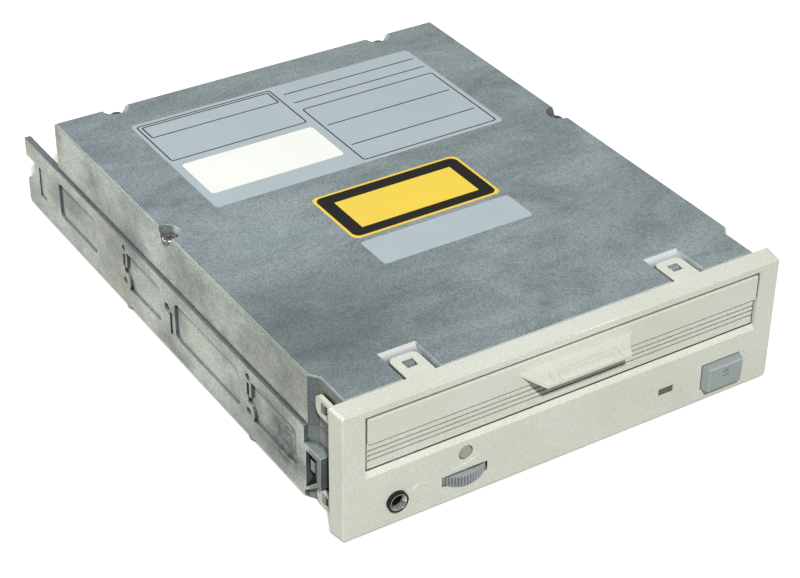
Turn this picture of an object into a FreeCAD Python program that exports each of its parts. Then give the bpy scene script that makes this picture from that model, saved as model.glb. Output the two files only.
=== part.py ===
import FreeCAD, Part
import math
import os

# Half-height caddy-loading CD-ROM drive: cast case, moulded front with a drop-down door, loading mechanism.
# Drawing frame: X to the right seen from the front, Y from the bezel's front face to the rear, Z up from
# the bezel's lower edge, in millimetres. Each piece is moved along Y when it is written, so that the
# part's origin is the bottom centre of its box.

V = FreeCAD.Vector

# Clearances
MOVE_GAP = 0.3          # between pieces that move past each other
RUN_GAP = 0.06          # radial, shaft in its bearing
SEAT_GAP = 0.03         # radial, pin pressed into its seat
CUT_OVER = 1.0          # how far a cutting tool runs past a face

# Cast case
BODY_WIDTH = 146.0
BODY_BASE = 0.5         # chassis underside above the bezel's lower edge
SEAM_RISE = 25.3        # joint of chassis and cover above the chassis underside
CHASSIS_WALL = 2.2
CHASSIS_CHAMFER = 1.6
COVER_STEP = 1.3        # cover inside the chassis, on each side
COVER_WALL = 1.8
COVER_ROOF = 1.8
COVER_EDGE_ROUND = 0.7
COVER_REAR_ROOM = 8.8   # behind the deck
WING_REACH = 24.3       # wings behind the cover
NECK_STEP = 3.6         # neck inside the chassis, on each side
NECK_REAR = 18.8
STEP_REAR = 21.8
BEZEL_CASE_GAP = 0.4

# Chassis floor, ledges and posts
PLATE_SHEET = 0.8
PLATE_MARGIN = 8.0      # bottom plate inside the chassis, on each side
PLATE_FIT = 0.3
LEDGE_WIDTH = 24.0
LEDGE_THICK = 2.0
FRONT_FLOOR_REAR = 30.0
FRONT_FLOOR_THICK = 1.6
REAR_FLOOR_AHEAD = 6.8  # rear floor starts before the end of the cover
REAR_FLOOR_LENGTH = 29.0
REAR_WALL_BOTTOM = 17.6
POST_RADIUS = 3.2
BOARD_POST_RADIUS = 2.6
BOARD_POST_INSET = 23.0
BOARD_POST_FRONT = 40.0
BOARD_POST_MIDDLE = 108.0
BOARD_POST_AHEAD = 6.0  # rear posts before the rear floor
TAP_RADIUS = 1.25       # tapped hole of an M3 screw

# Case side relief
RELIEF_DEPTH = 1.1
RELIEF_BOTTOM = 8.6
RELIEF_TOP = 21.6
RELIEF_SPANS = ((58.6, 98.6), (153.0, 181.0))
RELIEF_AHEAD = (27.3, 24.2)   # panels that end at the tapped holes
RELIEF_CORNER = 2.0
LATCH_HOLE_Y = 103.6
LATCH_HOLE_Z = 16.6
LATCH_HOLE_RADIUS = 1.9
LATCH_CHANNEL = (100.4, 102.0)
MOUNT_SLOT = (16.0, 20.4)
MOUNT_SLOT_HALF = 0.7
MOUNT_SLOT_DEPTH = 1.2
HOLE_PAD_RADIUS = 3.3   # raised round the lower holes
SLOT_PAD_HALF = 1.8     # raised round the slots
WING_NOTCH_DEPTH = 6.4
WING_NOTCH_TOP = 19.4
WING_NOTCH_INNER = 15.6
WING_NOTCH_OUTER = 10.4
WING_POCKET = (192.2, 197.0)
WING_POCKET_DEPTH = 0.6
WING_CORNER = 2.4

# Standard mounting holes of a half-height bay device
HOLE_FIRST_Y = 47.4     # behind the bezel's rear face
HOLE_PITCH_Y = 79.25
HOLE_BOTTOM_EDGE = 3.15 # from the side of the case
HOLE_BOTTOM_DEPTH = 6.0
HOLE_SIDE_LOW = 10.0
HOLE_SIDE_HIGH = 21.84
HOLE_SIDE_DEPTH = 4.6
HOLE_BOSS_RADIUS = 3.0

# Cover screws in scoops at the edge of the cover
SCOOP_RADIUS = 4.4
SCOOP_FLOOR_RADIUS = 2.5
SCOOP_WALL = 1.2
SCOOP_INSET = 0.5
SCREW_INSET = 1.0       # screw axis inside the centre of its scoop
SCOOP_Y = 105.0
SCOOP_REAR_INSETS = (21.1, 22.3)
SCOOP_FLOOR_DROP = 3.7
SCREW_HEAD_RADIUS = 2.2
SCREW_HEAD_HEIGHT = 1.8
SCREW_SHANK_RADIUS = 1.22
SCREW_HOLE_RADIUS = 1.35
COVER_SCREW_LENGTH = 20.0
CHASSIS_POST_DROP = 12.0

# Earth bracket at the front left of the chassis
BRACKET_FRONT = 13.0
BRACKET_TOP = 20.0
BRACKET_WINDOW_FRAME = 1.9
BRACKET_WINDOW_DEPTH = 2.8
BRACKET_WEB = 1.2       # sloping lower web, lowest at its rear
BRACKET_WEB_FRONT = 10.7
BRACKET_WEB_REAR = 4.7
SPRING_STRIP = 0.35
SPRING_STRIP_WIDTH = 3.6
SPRING_STRIP_Z = 14.4

# Bezel shell
BEZEL_OVERLAP = 1.5     # bezel outside the chassis, on each side
BEZEL_TOP_RISE = 0.4    # bezel above the cover
BEZEL_DEPTH = 5.9
BEZEL_SIDE_DRAFT = 0.7
BEZEL_EDGE_DRAFT = 0.53
BEZEL_SKIN = 2.0
BEZEL_RIM = 2.2
BEZEL_CORNER = 1.0
BEZEL_EDGE_ROUND = 0.5

# Bezel snap tabs
TOP_TAB_INSETS = (29.0, 29.8)
TOP_TAB_WIDTH = 9.0
TOP_TAB_REAR = 16.4
TOP_TAB_THICK = 1.1
TOP_TAB_CORNER = 2.0
TAB_HOLE = 3.5
TAB_HOLE_REAR_EDGE = 2.6
SIDE_TAB_REAR = 17.8
SIDE_TAB_THICK = 1.2
SIDE_TAB_SPANS = ((2.3, 7.2), (32.3, 38.6))
SIDE_TAB_GAP = 0.8
HOOK_FIT = 0.35
RECESS_SIDE = 0.9       # room beside a top tab in the cover
RECESS_FLARE = 1.2      # slope of the recess's right wall
RECESS_FLOOR_DROP = 1.5
RECESS_RAMP = 3.3

# Door opening and door
OPENING_SIDE = 7.7      # bezel beside the opening
OPENING_HEAD = 2.95     # bezel above the opening
SILL_HEIGHT = 19.9
SILL_EDGE = 19.5        # front edge of the sill, which rises steeply to its crest
SILL_CREST_DEPTH = 1.0
SILL_CREST_RISE = 1.05
SILL_THICK = 1.5
COLUMN_WALL = 2.6
DOOR_LEFT_GAP = 1.1
DOOR_RIGHT_GAP = 0.5
DOOR_TOP_GAP = 1.0
DOOR_BAND_FRONT = 0.15
DOOR_BAND_BOTTOM = 30.3
DOOR_BAND_BEVEL = 0.7   # left end of the band
DOOR_RIB_FRONT = 1.2
DOOR_PANEL = 2.0
DOOR_EDGE_ROUND = 0.5
PIVOT_DEPTH = 3.9
PIVOT_RISE = 3.7        # hinge axis above the sill
HINGE_ROD_RADIUS = 1.0
DOOR_BARREL_RADIUS = 2.0
GROOVE_TOP = 27.4
GROOVE_PITCH = 1.6
GROOVE_COUNT = 3
GROOVE_WIDTH = 0.5
GROOVE_DEPTH = 0.4
LIP_ROOT_WIDTH = 38.2
LIP_TIP_WIDTH = 28.7
LIP_REACH = 6.3         # in front of the bezel's face
LIP_TOP = 35.4
LIP_TIP_TOP = 33.3
LIP_ROOT_THICK = 1.25
LIP_TIP_THICK = 1.0
LIP_SCOOP = 0.5         # how far the lip is hollowed along its reach
LIP_WAIST = 0.6         # how far its sides are hollowed
LIP_SHIFT = 1.3
GRIP_DEPTH = 0.18       # grip lines engraved in the top of the lip
GRIP_LINE = 0.35
GRIP_FRAMES = ((11.8, -2.2), (9.4, -3.6))
SPRING_NOTCH_INSET = 12.8
SPRING_NOTCH_WIDTH = 7.0
SPRING_WIRE_RADIUS = 0.2
SPRING_COIL_RADIUS = 1.35
SPRING_PITCH = 1.0
SPRING_TURNS = 4
SPRING_LEG = 5.0

# Controls on the bezel
JACK_INSET = 17.5       # controls are placed from the ends of the bezel
JACK_Z = 8.2
JACK_COLLAR_RADIUS = 3.15
JACK_COLLAR_PROUD = 1.2
JACK_BORE_RADIUS = 1.8
JACK_BORE_LENGTH = 14.0
JACK_BODY_WIDTH = 11.2
JACK_BODY_DEPTH = 12.4
JACK_RING_RADIUS = 2.7
JACK_RING_DEPTH = 1.6
JACK_RING_RIM = 0.25
COLLAR_FIT = 0.1
WHEEL_INSET = 39.65
WHEEL_Z = 7.9
WHEEL_RADIUS = 9.75
WHEEL_THICK = 2.9
WHEEL_PROUD = 2.55
WHEEL_TEETH = 64
WHEEL_TOOTH_DEPTH = 0.5
WHEEL_DISH_RADIUS = 6.8
WHEEL_PIN_RADIUS = 1.5
POT_WIDTH = 11.0
POT_DEPTH = 8.0
PLUG_INSET = 39.8
PLUG_Z = 15.4
PLUG_RADIUS = 2.0
PLUG_FIT = 0.3          # ring gap round the plug
PLUG_SUNK = 0.2
PLUG_FLANGE = 0.6
LED_INSET = 39.45
LED_Z = 9.5
LED_WIDTH = 5.3
LED_HEIGHT = 2.45
LED_SUNK = 0.3
LED_FLANGE = 0.8
LED_DOME_RADIUS = 1.5
LED_BASE = 4.0
BUTTON_INSET = 19.35
BUTTON_Z = 9.1
BUTTON_WIDTH = 13.5
BUTTON_HEIGHT = 8.0
BUTTON_PROUD = 3.0
BUTTON_DRAFT = 0.5      # how much its sides lean in towards the face
BUTTON_BEVEL = 0.4
BUTTON_TRAVEL = 1.5
BUTTON_FLANGE = 1.1
BUTTON_FLANGE_THICK = 1.2
BUTTON_STEM_RADIUS = 1.5
BUTTON_STEM_LENGTH = 6.0
SWITCH_WIDTH = 8.0
SWITCH_DEPTH = 4.0
SWITCH_HEIGHT = 7.6
PLUNGER_RADIUS = 1.4
PLUNGER_PROUD = 1.8
PLUNGER_INSIDE = 1.6
FRONT_BOARD_Z = 2.9
FRONT_BOARD_THICK = 1.5
FRONT_BOARD_INSET = 11.0
FRONT_BOARD_REAR = 24.0
FRONT_POST_INSET = 21.0
FRONT_POST_Y = 20.0
FRONT_POST_RADIUS = 2.5

# Main board and rear sockets
BOARD_Z = 6.0
BOARD_THICK = 1.6
BOARD_INSET = 19.5
BOARD_FRONT = 32.0
BOARD_REACH = 20.2      # board behind the cover
BOARD_TAIL_AHEAD = 4.2  # wide tail starts before the end of the cover
BOARD_TAIL_FIT = 4.8
CHIP_HEIGHT = 1.2
CHIP_SIZES = ((20.0, 20.0), (14.0, 20.0), (14.0, 14.0), (9.0, 16.0))
CHIP_PLACES = ((-22.0, 52.0), (24.0, 56.0), (-30.0, 112.0), (34.0, 120.0))
RIBBON_WIDTH = 24.0
RIBBON_THICK = 0.4
RIBBON_ARCH = 1.6
RIBBON_FOOT = 3.5
SOCKET_REACH = 1.6      # sockets behind the board
INTERFACE_WIDTH = 73.0
INTERFACE_HEIGHT = 9.0
INTERFACE_DEPTH = 12.4
INTERFACE_BASE = 3.0
SOCKET_WALL = 1.4
KEY_WIDTH = 4.5
PIN_PITCH = 2.54
PIN_SIDE = 0.64
PIN_COLUMNS = 25
PIN_SHORT = 2.5         # pin tip behind the socket's mouth
POWER_WIDTH = 22.0
POWER_HEIGHT = 10.4
POWER_DEPTH = 16.0
POWER_BASE = 4.0
POWER_CORNER = 2.6
POWER_PIN_RADIUS = 1.05
POWER_PIN_PITCH = 5.08
POWER_PINS = 4
AUDIO_WIDTH = 12.6
AUDIO_HEIGHT = 7.0
AUDIO_DEPTH = 10.0
JUMPER_COLUMNS = 4
JUMPER_BASE = 2.5
JUMPER_PIN_LENGTH = 6.0

# Mechanism deck
SPINDLE_Y = 76.0
DECK_Z = 15.0
DECK_SHEET = 1.5
DECK_STEP = 0.7         # deck inside the holder, on each side
DECK_FRONT = 50.0
DECK_MARGIN = 0.6       # deck behind the loading motor
DECK_WALL_SHEET = 1.0
DECK_WALL_LENGTH = 16.0
DECK_WALL_HEADROOM = 2.0
DAMPER_INSET = 15.0
DAMPER_EDGE = (8.0, 10.0)
DAMPER_RADIUS = 4.2
DAMPER_NECK_RADIUS = 3.0
DAMPER_FOOT = 3.0
DAMPER_CAP = 1.7
DAMPER_BORE = 1.6
DAMPER_SCREW_LENGTH = 12.0
DAMPER_HEAD_RADIUS = 2.6
DAMPER_HEAD_HEIGHT = 1.3

# Spindle
MOTOR_RADIUS = 12.0
MOTOR_HEIGHT = 6.0
SPINDLE_RADIUS = 1.5
SPINDLE_FOOT = 1.0
TABLE_RADIUS = 14.0
TABLE_RIM_THICK = 2.5
TABLE_TOP = 24.8
TABLE_SKIRT_RADIUS = 9.0
TABLE_SKIRT_GAP = 0.8
CONE_RADIUS = 7.3
CONE_TOP_RADIUS = 5.0
CONE_HEIGHT = 2.0
MAGNET_RADIUS = 4.2
MAGNET_DEPTH = 1.6

# Pickup
ROD_X = 24.0
ROD_Z = 11.8
ROD_RADIUS = 1.5
ROD_BLOCK = 4.0
ROD_BLOCK_WIDTH = 5.0
ROD_BLOCK_BOTTOM = 9.6
SLED_START = 14.0       # sled's front edge behind the spindle axis
SLED_LENGTH = 22.0
SLED_HALF = 19.0
SLED_BOTTOM = 9.3
SLED_TOP = 14.5
SLED_TRAVEL = 35.0
BUSH_RADIUS = 2.7
BUSH_LENGTH = 5.0
LENS_BEHIND = 9.0       # lens axis behind the sled's front edge
TURRET_RADIUS = 6.0
TURRET_TOP = 18.0
LENS_RADIUS = 3.0
LENS_CROWN = 0.8
DECK_WINDOW_HALF = 20.0
SCREW_X = -33.0
SCREW_RADIUS = 1.4
NUT_LENGTH = 5.0
NUT_RADIUS = 2.5
SLED_MOTOR_RADIUS = 3.6
SLED_MOTOR_LENGTH = 16.0
SCREW_END_ROOM = 3.0

# Caddy holder and cam slide
HOLDER_MARGIN = 9.8     # inside of the holder from the side of the case
HOLDER_SHEET = 1.0
HOLDER_FLOOR = 26.2
HOLDER_INSIDE = 9.6
HOLDER_FRONT = 12.0
HOLDER_LENGTH = 126.0
HOLDER_HEADROOM = 2.5   # under the cover's roof
HOLDER_LIP = 10.0
HOLDER_WINDOW_MARGIN = 18.0
HOLDER_STOP_WIDTH = 16.0
HOLDER_DROP = 5.5
PIN_RADIUS = 1.25
PIN_TAIL_RADIUS = 0.8
PIN_RISE = 4.8          # pin above the holder's inside floor
PIN_FRONT = 62.0        # pins behind the holder's front edge and before its rear edge
PIN_REAR = 12.0
PIN_END = 0.6
SLIDE_GAP = 0.7
SLIDE_SHEET = 1.0
SLIDE_RAMP = 2.0        # slide travel for each unit of holder drop
SLIDE_FRONT = 60.0
SLIDE_BEHIND = 14.0     # slide behind the holder
SLIDE_STRIP = 5.8
SLIDE_CAM_MARGIN = 3.0
CROSSBAR_WIDTH = 6.0
CROSSBAR_THICK = 1.2
BRIDGE_HALF = 22.0      # half the raised middle of the crossbar
TOOTH_MODULE = 1.0
RACK_TEETH = 5
RACK_BACK = 2.5
RACK_HEIGHT = 2.8
RACK_PINION_TEETH = 10
RACK_WHEEL_TEETH = 26
PULLEY_PINION_TEETH = 8
GEAR_FACE = 2.4
GEAR_FLOAT = 0.4
AXLE_RADIUS = 1.5
AXLE_CAP = 1.0
PULLEY_RADIUS = 9.0
MOTOR_PULLEY_RADIUS = 2.5
PULLEY_FACE = 3.4
PULLEY_FLANGE = 1.0
PULLEY_CHEEK = 0.7
BELT_THICK = 1.0
BELT_SPAN = 28.0
LOADING_MOTOR_RADIUS = 8.0
LOADING_MOTOR_INSET = 18.0  # from the dampers towards the middle
LOADING_MOTOR_BELOW = 3.0
LOADING_MOTOR_FLANGE = 2.2
LOADING_MOTOR_PLATE = 1.2
MOTOR_SHAFT_RADIUS = 1.0

# Bottom plate
PLATE_BEAD_WIDTH = 5.0
PLATE_BEAD_RISE = 0.5
PLATE_SCREW_INSET = 13.0
PLATE_SCREW_EDGE = (14.0, 16.0)
PLATE_SCREW_HEAD = 2.3

# Widths worked out from the sizes above
BODY_HALF = BODY_WIDTH / 2
COVER_HALF = BODY_HALF - COVER_STEP
NECK_HALF = BODY_HALF - NECK_STEP
BEZEL_HALF = BODY_HALF + BEZEL_OVERLAP
OPENING_HALF = BEZEL_HALF - OPENING_SIDE
WALL_INNER = BODY_HALF - CHASSIS_WALL
PLATE_HALF = BODY_HALF - PLATE_MARGIN
HOLE_X = BODY_HALF - HOLE_BOTTOM_EDGE
BOARD_POST_X = BODY_HALF - BOARD_POST_INSET
PLATE_SCREW_X = BODY_HALF - PLATE_SCREW_INSET
SCOOP_REAR_X = (-COVER_HALF + SCOOP_REAR_INSETS[0], COVER_HALF - SCOOP_REAR_INSETS[1])
TOP_TAB_X = (-BEZEL_HALF + TOP_TAB_INSETS[0], BEZEL_HALF - TOP_TAB_INSETS[1])
SPRING_NOTCH_X = -OPENING_HALF + SPRING_NOTCH_INSET
JACK_X = -BEZEL_HALF + JACK_INSET
WHEEL_X = -BEZEL_HALF + WHEEL_INSET
PLUG_X = -BEZEL_HALF + PLUG_INSET
LED_X = BEZEL_HALF - LED_INSET
BUTTON_X = BEZEL_HALF - BUTTON_INSET
FRONT_BOARD_HALF = BODY_HALF - FRONT_BOARD_INSET
FRONT_POST_X = BODY_HALF - FRONT_POST_INSET
BOARD_HALF = BODY_HALF - BOARD_INSET
BOARD_TAIL_HALF = WALL_INNER - BOARD_TAIL_FIT
JUMPER_WIDTH = JUMPER_COLUMNS * PIN_PITCH
SOCKET_SPACE = (2 * WALL_INNER - POWER_WIDTH - INTERFACE_WIDTH - JUMPER_WIDTH - AUDIO_WIDTH) / 5
POWER_X = -WALL_INNER + SOCKET_SPACE + POWER_WIDTH / 2
INTERFACE_X = POWER_X + POWER_WIDTH / 2 + SOCKET_SPACE + INTERFACE_WIDTH / 2
JUMPER_X = INTERFACE_X + INTERFACE_WIDTH / 2 + SOCKET_SPACE + JUMPER_WIDTH / 2
AUDIO_X = JUMPER_X + JUMPER_WIDTH / 2 + SOCKET_SPACE + AUDIO_WIDTH / 2
HOLDER_HALF = BODY_HALF - HOLDER_MARGIN
SLIDE_INNER = HOLDER_HALF + HOLDER_SHEET + SLIDE_GAP
SLIDE_OUTER = SLIDE_INNER + SLIDE_SHEET
DECK_WALL_INNER = SLIDE_OUTER + SLIDE_GAP
DECK_WALL_OUTER = DECK_WALL_INNER + DECK_WALL_SHEET
DECK_HALF = HOLDER_HALF - DECK_STEP
DAMPER_X = BODY_HALF - DAMPER_INSET
LOADING_MOTOR_X = DAMPER_X - LOADING_MOTOR_INSET
PULLEY_X = LOADING_MOTOR_X - BELT_SPAN
RACK_GEAR_X = PULLEY_X - TOOTH_MODULE * (RACK_WHEEL_TEETH + PULLEY_PINION_TEETH) / 2
RACK_PITCH_RADIUS = TOOTH_MODULE * RACK_PINION_TEETH / 2

# Heights worked out from the sizes above
HOLDER_TOP = HOLDER_FLOOR + 2 * HOLDER_SHEET + HOLDER_INSIDE
ROOF_Z = HOLDER_TOP + HOLDER_HEADROOM + COVER_ROOF
SEAM_Z = BODY_BASE + SEAM_RISE
BEZEL_HEIGHT = ROOF_Z + BEZEL_TOP_RISE
OPENING_TOP = BEZEL_HEIGHT - OPENING_HEAD
SCOOP_FLOOR = ROOF_Z - SCOOP_FLOOR_DROP
LEDGE_BOTTOM = BODY_BASE + PLATE_SHEET
LEDGE_TOP = LEDGE_BOTTOM + LEDGE_THICK
PIVOT_Z = SILL_HEIGHT + PIVOT_RISE
SILL_CREST = SILL_HEIGHT + SILL_CREST_RISE
POCKET_TOP = SILL_HEIGHT - SILL_THICK
FRONT_BOARD_TOP = FRONT_BOARD_Z + FRONT_BOARD_THICK
BOARD_TOP = BOARD_Z + BOARD_THICK
DECK_TOP = DECK_Z + DECK_SHEET
SLIDE_BASE = DECK_TOP + SLIDE_GAP
PIN_Z = HOLDER_FLOOR + HOLDER_SHEET + PIN_RISE
SLOT_RADIUS = PIN_RADIUS + MOVE_GAP
GEAR_BOTTOM = DECK_TOP + GEAR_FLOAT
RACK_TOP = SLIDE_BASE + RACK_HEIGHT
BRIDGE_BOTTOM = TURRET_TOP + LENS_CROWN + 2 * MOVE_GAP
BRIDGE_TOP = BRIDGE_BOTTOM + CROSSBAR_THICK
WHEEL_GEAR_BOTTOM = max(RACK_TOP, BRIDGE_TOP) + 2 * MOVE_GAP
WHEEL_GEAR_TOP = WHEEL_GEAR_BOTTOM + GEAR_FACE
PULLEY_BOTTOM = WHEEL_GEAR_TOP + TOOTH_MODULE
PULLEY_TOP = PULLEY_BOTTOM + PULLEY_FACE

# Depths worked out from the sizes above
CASE_FRONT = BEZEL_DEPTH + BEZEL_CASE_GAP
HOLE_ROWS = (BEZEL_DEPTH + HOLE_FIRST_Y, BEZEL_DEPTH + HOLE_FIRST_Y + HOLE_PITCH_Y)
FRONT_BOARD_FRONT = BEZEL_SKIN + BUTTON_FLANGE_THICK + BUTTON_TRAVEL + 3 * MOVE_GAP
WHEEL_Y = WHEEL_RADIUS - WHEEL_PROUD
SLED_FRONT = SPINDLE_Y + SLED_START
SLED_REAR = SLED_FRONT + SLED_LENGTH
WINDOW_FRONT = SLED_FRONT - MOVE_GAP
WINDOW_REAR = SLED_REAR + SLED_TRAVEL + MOVE_GAP
SCREW_FRONT = SLED_FRONT - SCREW_END_ROOM
SCREW_REAR = WINDOW_REAR + SCREW_END_ROOM
HOLDER_REAR = HOLDER_FRONT + HOLDER_LENGTH
PIN_PLACES = (HOLDER_FRONT + PIN_FRONT, HOLDER_REAR - PIN_REAR)
SLIDE_REAR = HOLDER_REAR + SLIDE_BEHIND
SLIDE_TRAVEL = SLIDE_RAMP * HOLDER_DROP
RACK_GEAR_Y = SLIDE_REAR + LOADING_MOTOR_RADIUS + LOADING_MOTOR_FLANGE + TOOTH_MODULE
DECK_REAR = RACK_GEAR_Y + LOADING_MOTOR_RADIUS + LOADING_MOTOR_FLANGE + DECK_MARGIN
DAMPER_Y = (DECK_FRONT + DAMPER_EDGE[0], DECK_REAR - DAMPER_EDGE[1])
COVER_REAR = DECK_REAR + COVER_REAR_ROOM
WING_REAR = COVER_REAR + WING_REACH
REAR_FLOOR_FRONT = COVER_REAR - REAR_FLOOR_AHEAD
BOARD_REAR = COVER_REAR + BOARD_REACH
BOARD_TAIL_FRONT = COVER_REAR - BOARD_TAIL_AHEAD
BOARD_POST_Y = (BOARD_POST_FRONT, BOARD_POST_MIDDLE, REAR_FLOOR_FRONT - BOARD_POST_AHEAD)
PLATE_SCREW_Y = (FRONT_FLOOR_REAR + PLATE_SCREW_EDGE[0], REAR_FLOOR_FRONT - PLATE_SCREW_EDGE[1])
SOCKET_REAR = BOARD_REAR + SOCKET_REACH
FRAME_SHIFT = V(0, (LIP_REACH - WING_REAR) / 2, 0)


def block(x, y, z):
    """Box between the two ends given for each axis."""
    return Part.makeBox(x[1] - x[0], y[1] - y[0], z[1] - z[0], V(x[0], y[0], z[0]))


def post(x, y, z, radius):
    """Upright cylinder at x, y between the two heights of z."""
    return Part.makeCylinder(radius, z[1] - z[0], V(x, y, z[0]), V(0, 0, 1))


def bar_x(y, z, x, radius):
    """Cylinder along X at y, z between the two ends of x."""
    return Part.makeCylinder(radius, x[1] - x[0], V(x[0], y, z), V(1, 0, 0))


def bar_y(x, z, y, radius):
    """Cylinder along Y at x, z between the two ends of y."""
    return Part.makeCylinder(radius, y[1] - y[0], V(x, y[0], z), V(0, 1, 0))


def prism_x(points, x):
    """Outline of (y, z) points pulled along X."""
    face = Part.Face(Part.makePolygon([V(x[0], p[0], p[1]) for p in points + points[:1]]))
    return face.extrude(V(x[1] - x[0], 0, 0))


def prism_y(points, y):
    """Outline of (x, z) points pulled along Y."""
    face = Part.Face(Part.makePolygon([V(p[0], y[0], p[1]) for p in points + points[:1]]))
    return face.extrude(V(0, y[1] - y[0], 0))


def prism_z(points, z):
    """Outline of (x, y) points pulled up along Z."""
    face = Part.Face(Part.makePolygon([V(p[0], p[1], z[0]) for p in points + points[:1]]))
    return face.extrude(V(0, 0, z[1] - z[0]))


def mirrored(shape):
    """The same shape on the other side of the middle plane."""
    return shape.mirror(V(0, 0, 0), V(1, 0, 0))


def joined(*shapes):
    """One solid out of shapes that touch."""
    return shapes[0].fuse(list(shapes[1:])).removeSplitter()


def rounded(shape, radius, chosen):
    """Fillet the edges for which chosen(bounding box) is true."""
    return shape.makeFillet(radius, [edge for edge in shape.Edges if chosen(edge.BoundBox)])


def bevelled(shape, size, chosen):
    """Chamfer the edges for which chosen(bounding box) is true."""
    return shape.makeChamfer(size, [edge for edge in shape.Edges if chosen(edge.BoundBox)])


def is_upright(box):
    """True for the bounding box of an edge that runs straight up."""
    return box.XLength + box.YLength < box.ZLength * 0.01


def spur(teeth, z, turn):
    """Spur gear about the Z axis, with room in its teeth; turn puts the first tooth at that angle."""
    pitch_radius = TOOTH_MODULE * teeth / 2
    thick = 0.42 * math.pi * TOOTH_MODULE
    rings = ((pitch_radius - 1.1 * TOOTH_MODULE, 0.55 * thick), (pitch_radius, 0.5 * thick),
             (pitch_radius + 0.8 * TOOTH_MODULE, 0.26 * thick))
    profile = [(r, -half / r) for r, half in rings] + [(r, half / r) for r, half in reversed(rings)]
    points = []
    for tooth in range(teeth):
        middle = math.radians(turn) + 2 * math.pi * tooth / teeth
        points += [(r * math.cos(middle + a), r * math.sin(middle + a)) for r, a in profile]
    return prism_z(points, z)


# Bezel and its snap tabs

def bezel_body():
    """Drafted shell of the front, open behind, with rounded front edges."""
    half, rear = BEZEL_HALF, BEZEL_DEPTH

    def frame(y, side, edge):
        low, high = edge, BEZEL_HEIGHT - edge
        corners = [(-half + side, low), (half - side, low), (half - side, high), (-half + side, high)]
        return Part.makePolygon([V(x, y, z) for x, z in corners + corners[:1]])

    body = Part.makeLoft([frame(0, BEZEL_SIDE_DRAFT, BEZEL_EDGE_DRAFT), frame(rear, 0, 0)], True, True)
    body = rounded(body, BEZEL_CORNER, lambda b: b.YLength > rear * 0.9)
    body = rounded(body, BEZEL_EDGE_ROUND, lambda b: b.YMax < rear * 0.1)
    inner = half - BEZEL_RIM
    column = OPENING_HALF + COLUMN_WALL
    behind = (BEZEL_SKIN, rear + CUT_OVER)
    through = (-CUT_OVER, rear + CUT_OVER)
    hollows = [block((-inner, inner), behind, (BEZEL_RIM, POCKET_TOP))]
    for side in ((-inner, -column), (column, inner)):
        hollows.append(block(side, behind, (SILL_HEIGHT, BEZEL_HEIGHT - BEZEL_RIM)))
    across = (-OPENING_HALF, OPENING_HALF)
    hollows.append(block(across, through, (SILL_CREST, OPENING_TOP)))
    bevel = [(-CUT_OVER, SILL_EDGE), (0, SILL_EDGE), (SILL_CREST_DEPTH, SILL_CREST),
             (SILL_CREST_DEPTH, SILL_CREST + CUT_OVER), (-CUT_OVER, SILL_CREST + CUT_OVER)]
    hollows.append(prism_x(bevel, across))
    hollows.append(bar_x(PIVOT_DEPTH, PIVOT_Z, across, PIVOT_RISE))
    hollows.append(block(across, (PIVOT_DEPTH, rear + CUT_OVER), (SILL_HEIGHT, SILL_CREST + CUT_OVER)))
    rod_end = column + CUT_OVER
    hollows.append(bar_x(PIVOT_DEPTH, PIVOT_Z, (-rod_end, rod_end), HINGE_ROD_RADIUS + SEAT_GAP))
    return body.cut(hollows + control_holes(through))


def control_holes(through):
    """Cutting tools of the holes for the jack, wheel, plug, lamp and button."""
    wheel_room = WHEEL_THICK / 2 + MOVE_GAP
    half_w, half_h = BUTTON_WIDTH / 2 + MOVE_GAP, BUTTON_HEIGHT / 2 + MOVE_GAP
    lens_w, lens_h = LED_WIDTH / 2 + SEAT_GAP, LED_HEIGHT / 2 + SEAT_GAP
    return [
        bar_y(JACK_X, JACK_Z, through, JACK_COLLAR_RADIUS + COLLAR_FIT),
        post(WHEEL_X, WHEEL_Y, (WHEEL_Z - wheel_room, WHEEL_Z + wheel_room), WHEEL_RADIUS + 2 * MOVE_GAP),
        bar_y(PLUG_X, PLUG_Z, through, PLUG_RADIUS + PLUG_FIT),
        block((LED_X - lens_w, LED_X + lens_w), through, (LED_Z - lens_h, LED_Z + lens_h)),
        block((BUTTON_X - half_w, BUTTON_X + half_w), through, (BUTTON_Z - half_h, BUTTON_Z + half_h)),
    ]


def top_tab(middle):
    """Flat tab that lies in a recess of the cover, with a square hole for the hook."""
    half = TOP_TAB_WIDTH / 2
    root = BEZEL_DEPTH - BEZEL_RIM
    tab = block((middle - half, middle + half), (root, TOP_TAB_REAR), (ROOF_Z - TOP_TAB_THICK, ROOF_Z))
    tab = rounded(tab, TOP_TAB_CORNER, lambda b: is_upright(b) and b.YMin > BEZEL_DEPTH)
    hole_rear = TOP_TAB_REAR - TAB_HOLE_REAR_EDGE
    hole_x = (middle - TAB_HOLE / 2, middle + TAB_HOLE / 2)
    return tab.cut(block(hole_x, (hole_rear - TAB_HOLE, hole_rear), (ROOF_Z - BEZEL_RIM, ROOF_Z + CUT_OVER)))


def side_tab(span):
    """Upright tab beside the neck of the case, on the right, with a hole for the hook."""
    inner = NECK_HALF + SIDE_TAB_GAP
    outer = inner + SIDE_TAB_THICK
    tab = block((inner, outer), (BEZEL_SKIN / 2, SIDE_TAB_REAR), span)
    tab = rounded(tab, (span[1] - span[0]) / 3, lambda b: b.XLength > SIDE_TAB_THICK / 2
                  and b.YMin > SIDE_TAB_REAR - CUT_OVER and b.YLength + b.ZLength < CUT_OVER)
    hole_rear = SIDE_TAB_REAR - TAB_HOLE_REAR_EDGE
    middle = sum(span) / 2
    hole_z = (middle - TAB_HOLE / 2, middle + TAB_HOLE / 2)
    return tab.cut(block((inner - CUT_OVER, outer + CUT_OVER), (hole_rear - TAB_HOLE, hole_rear), hole_z))


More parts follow.
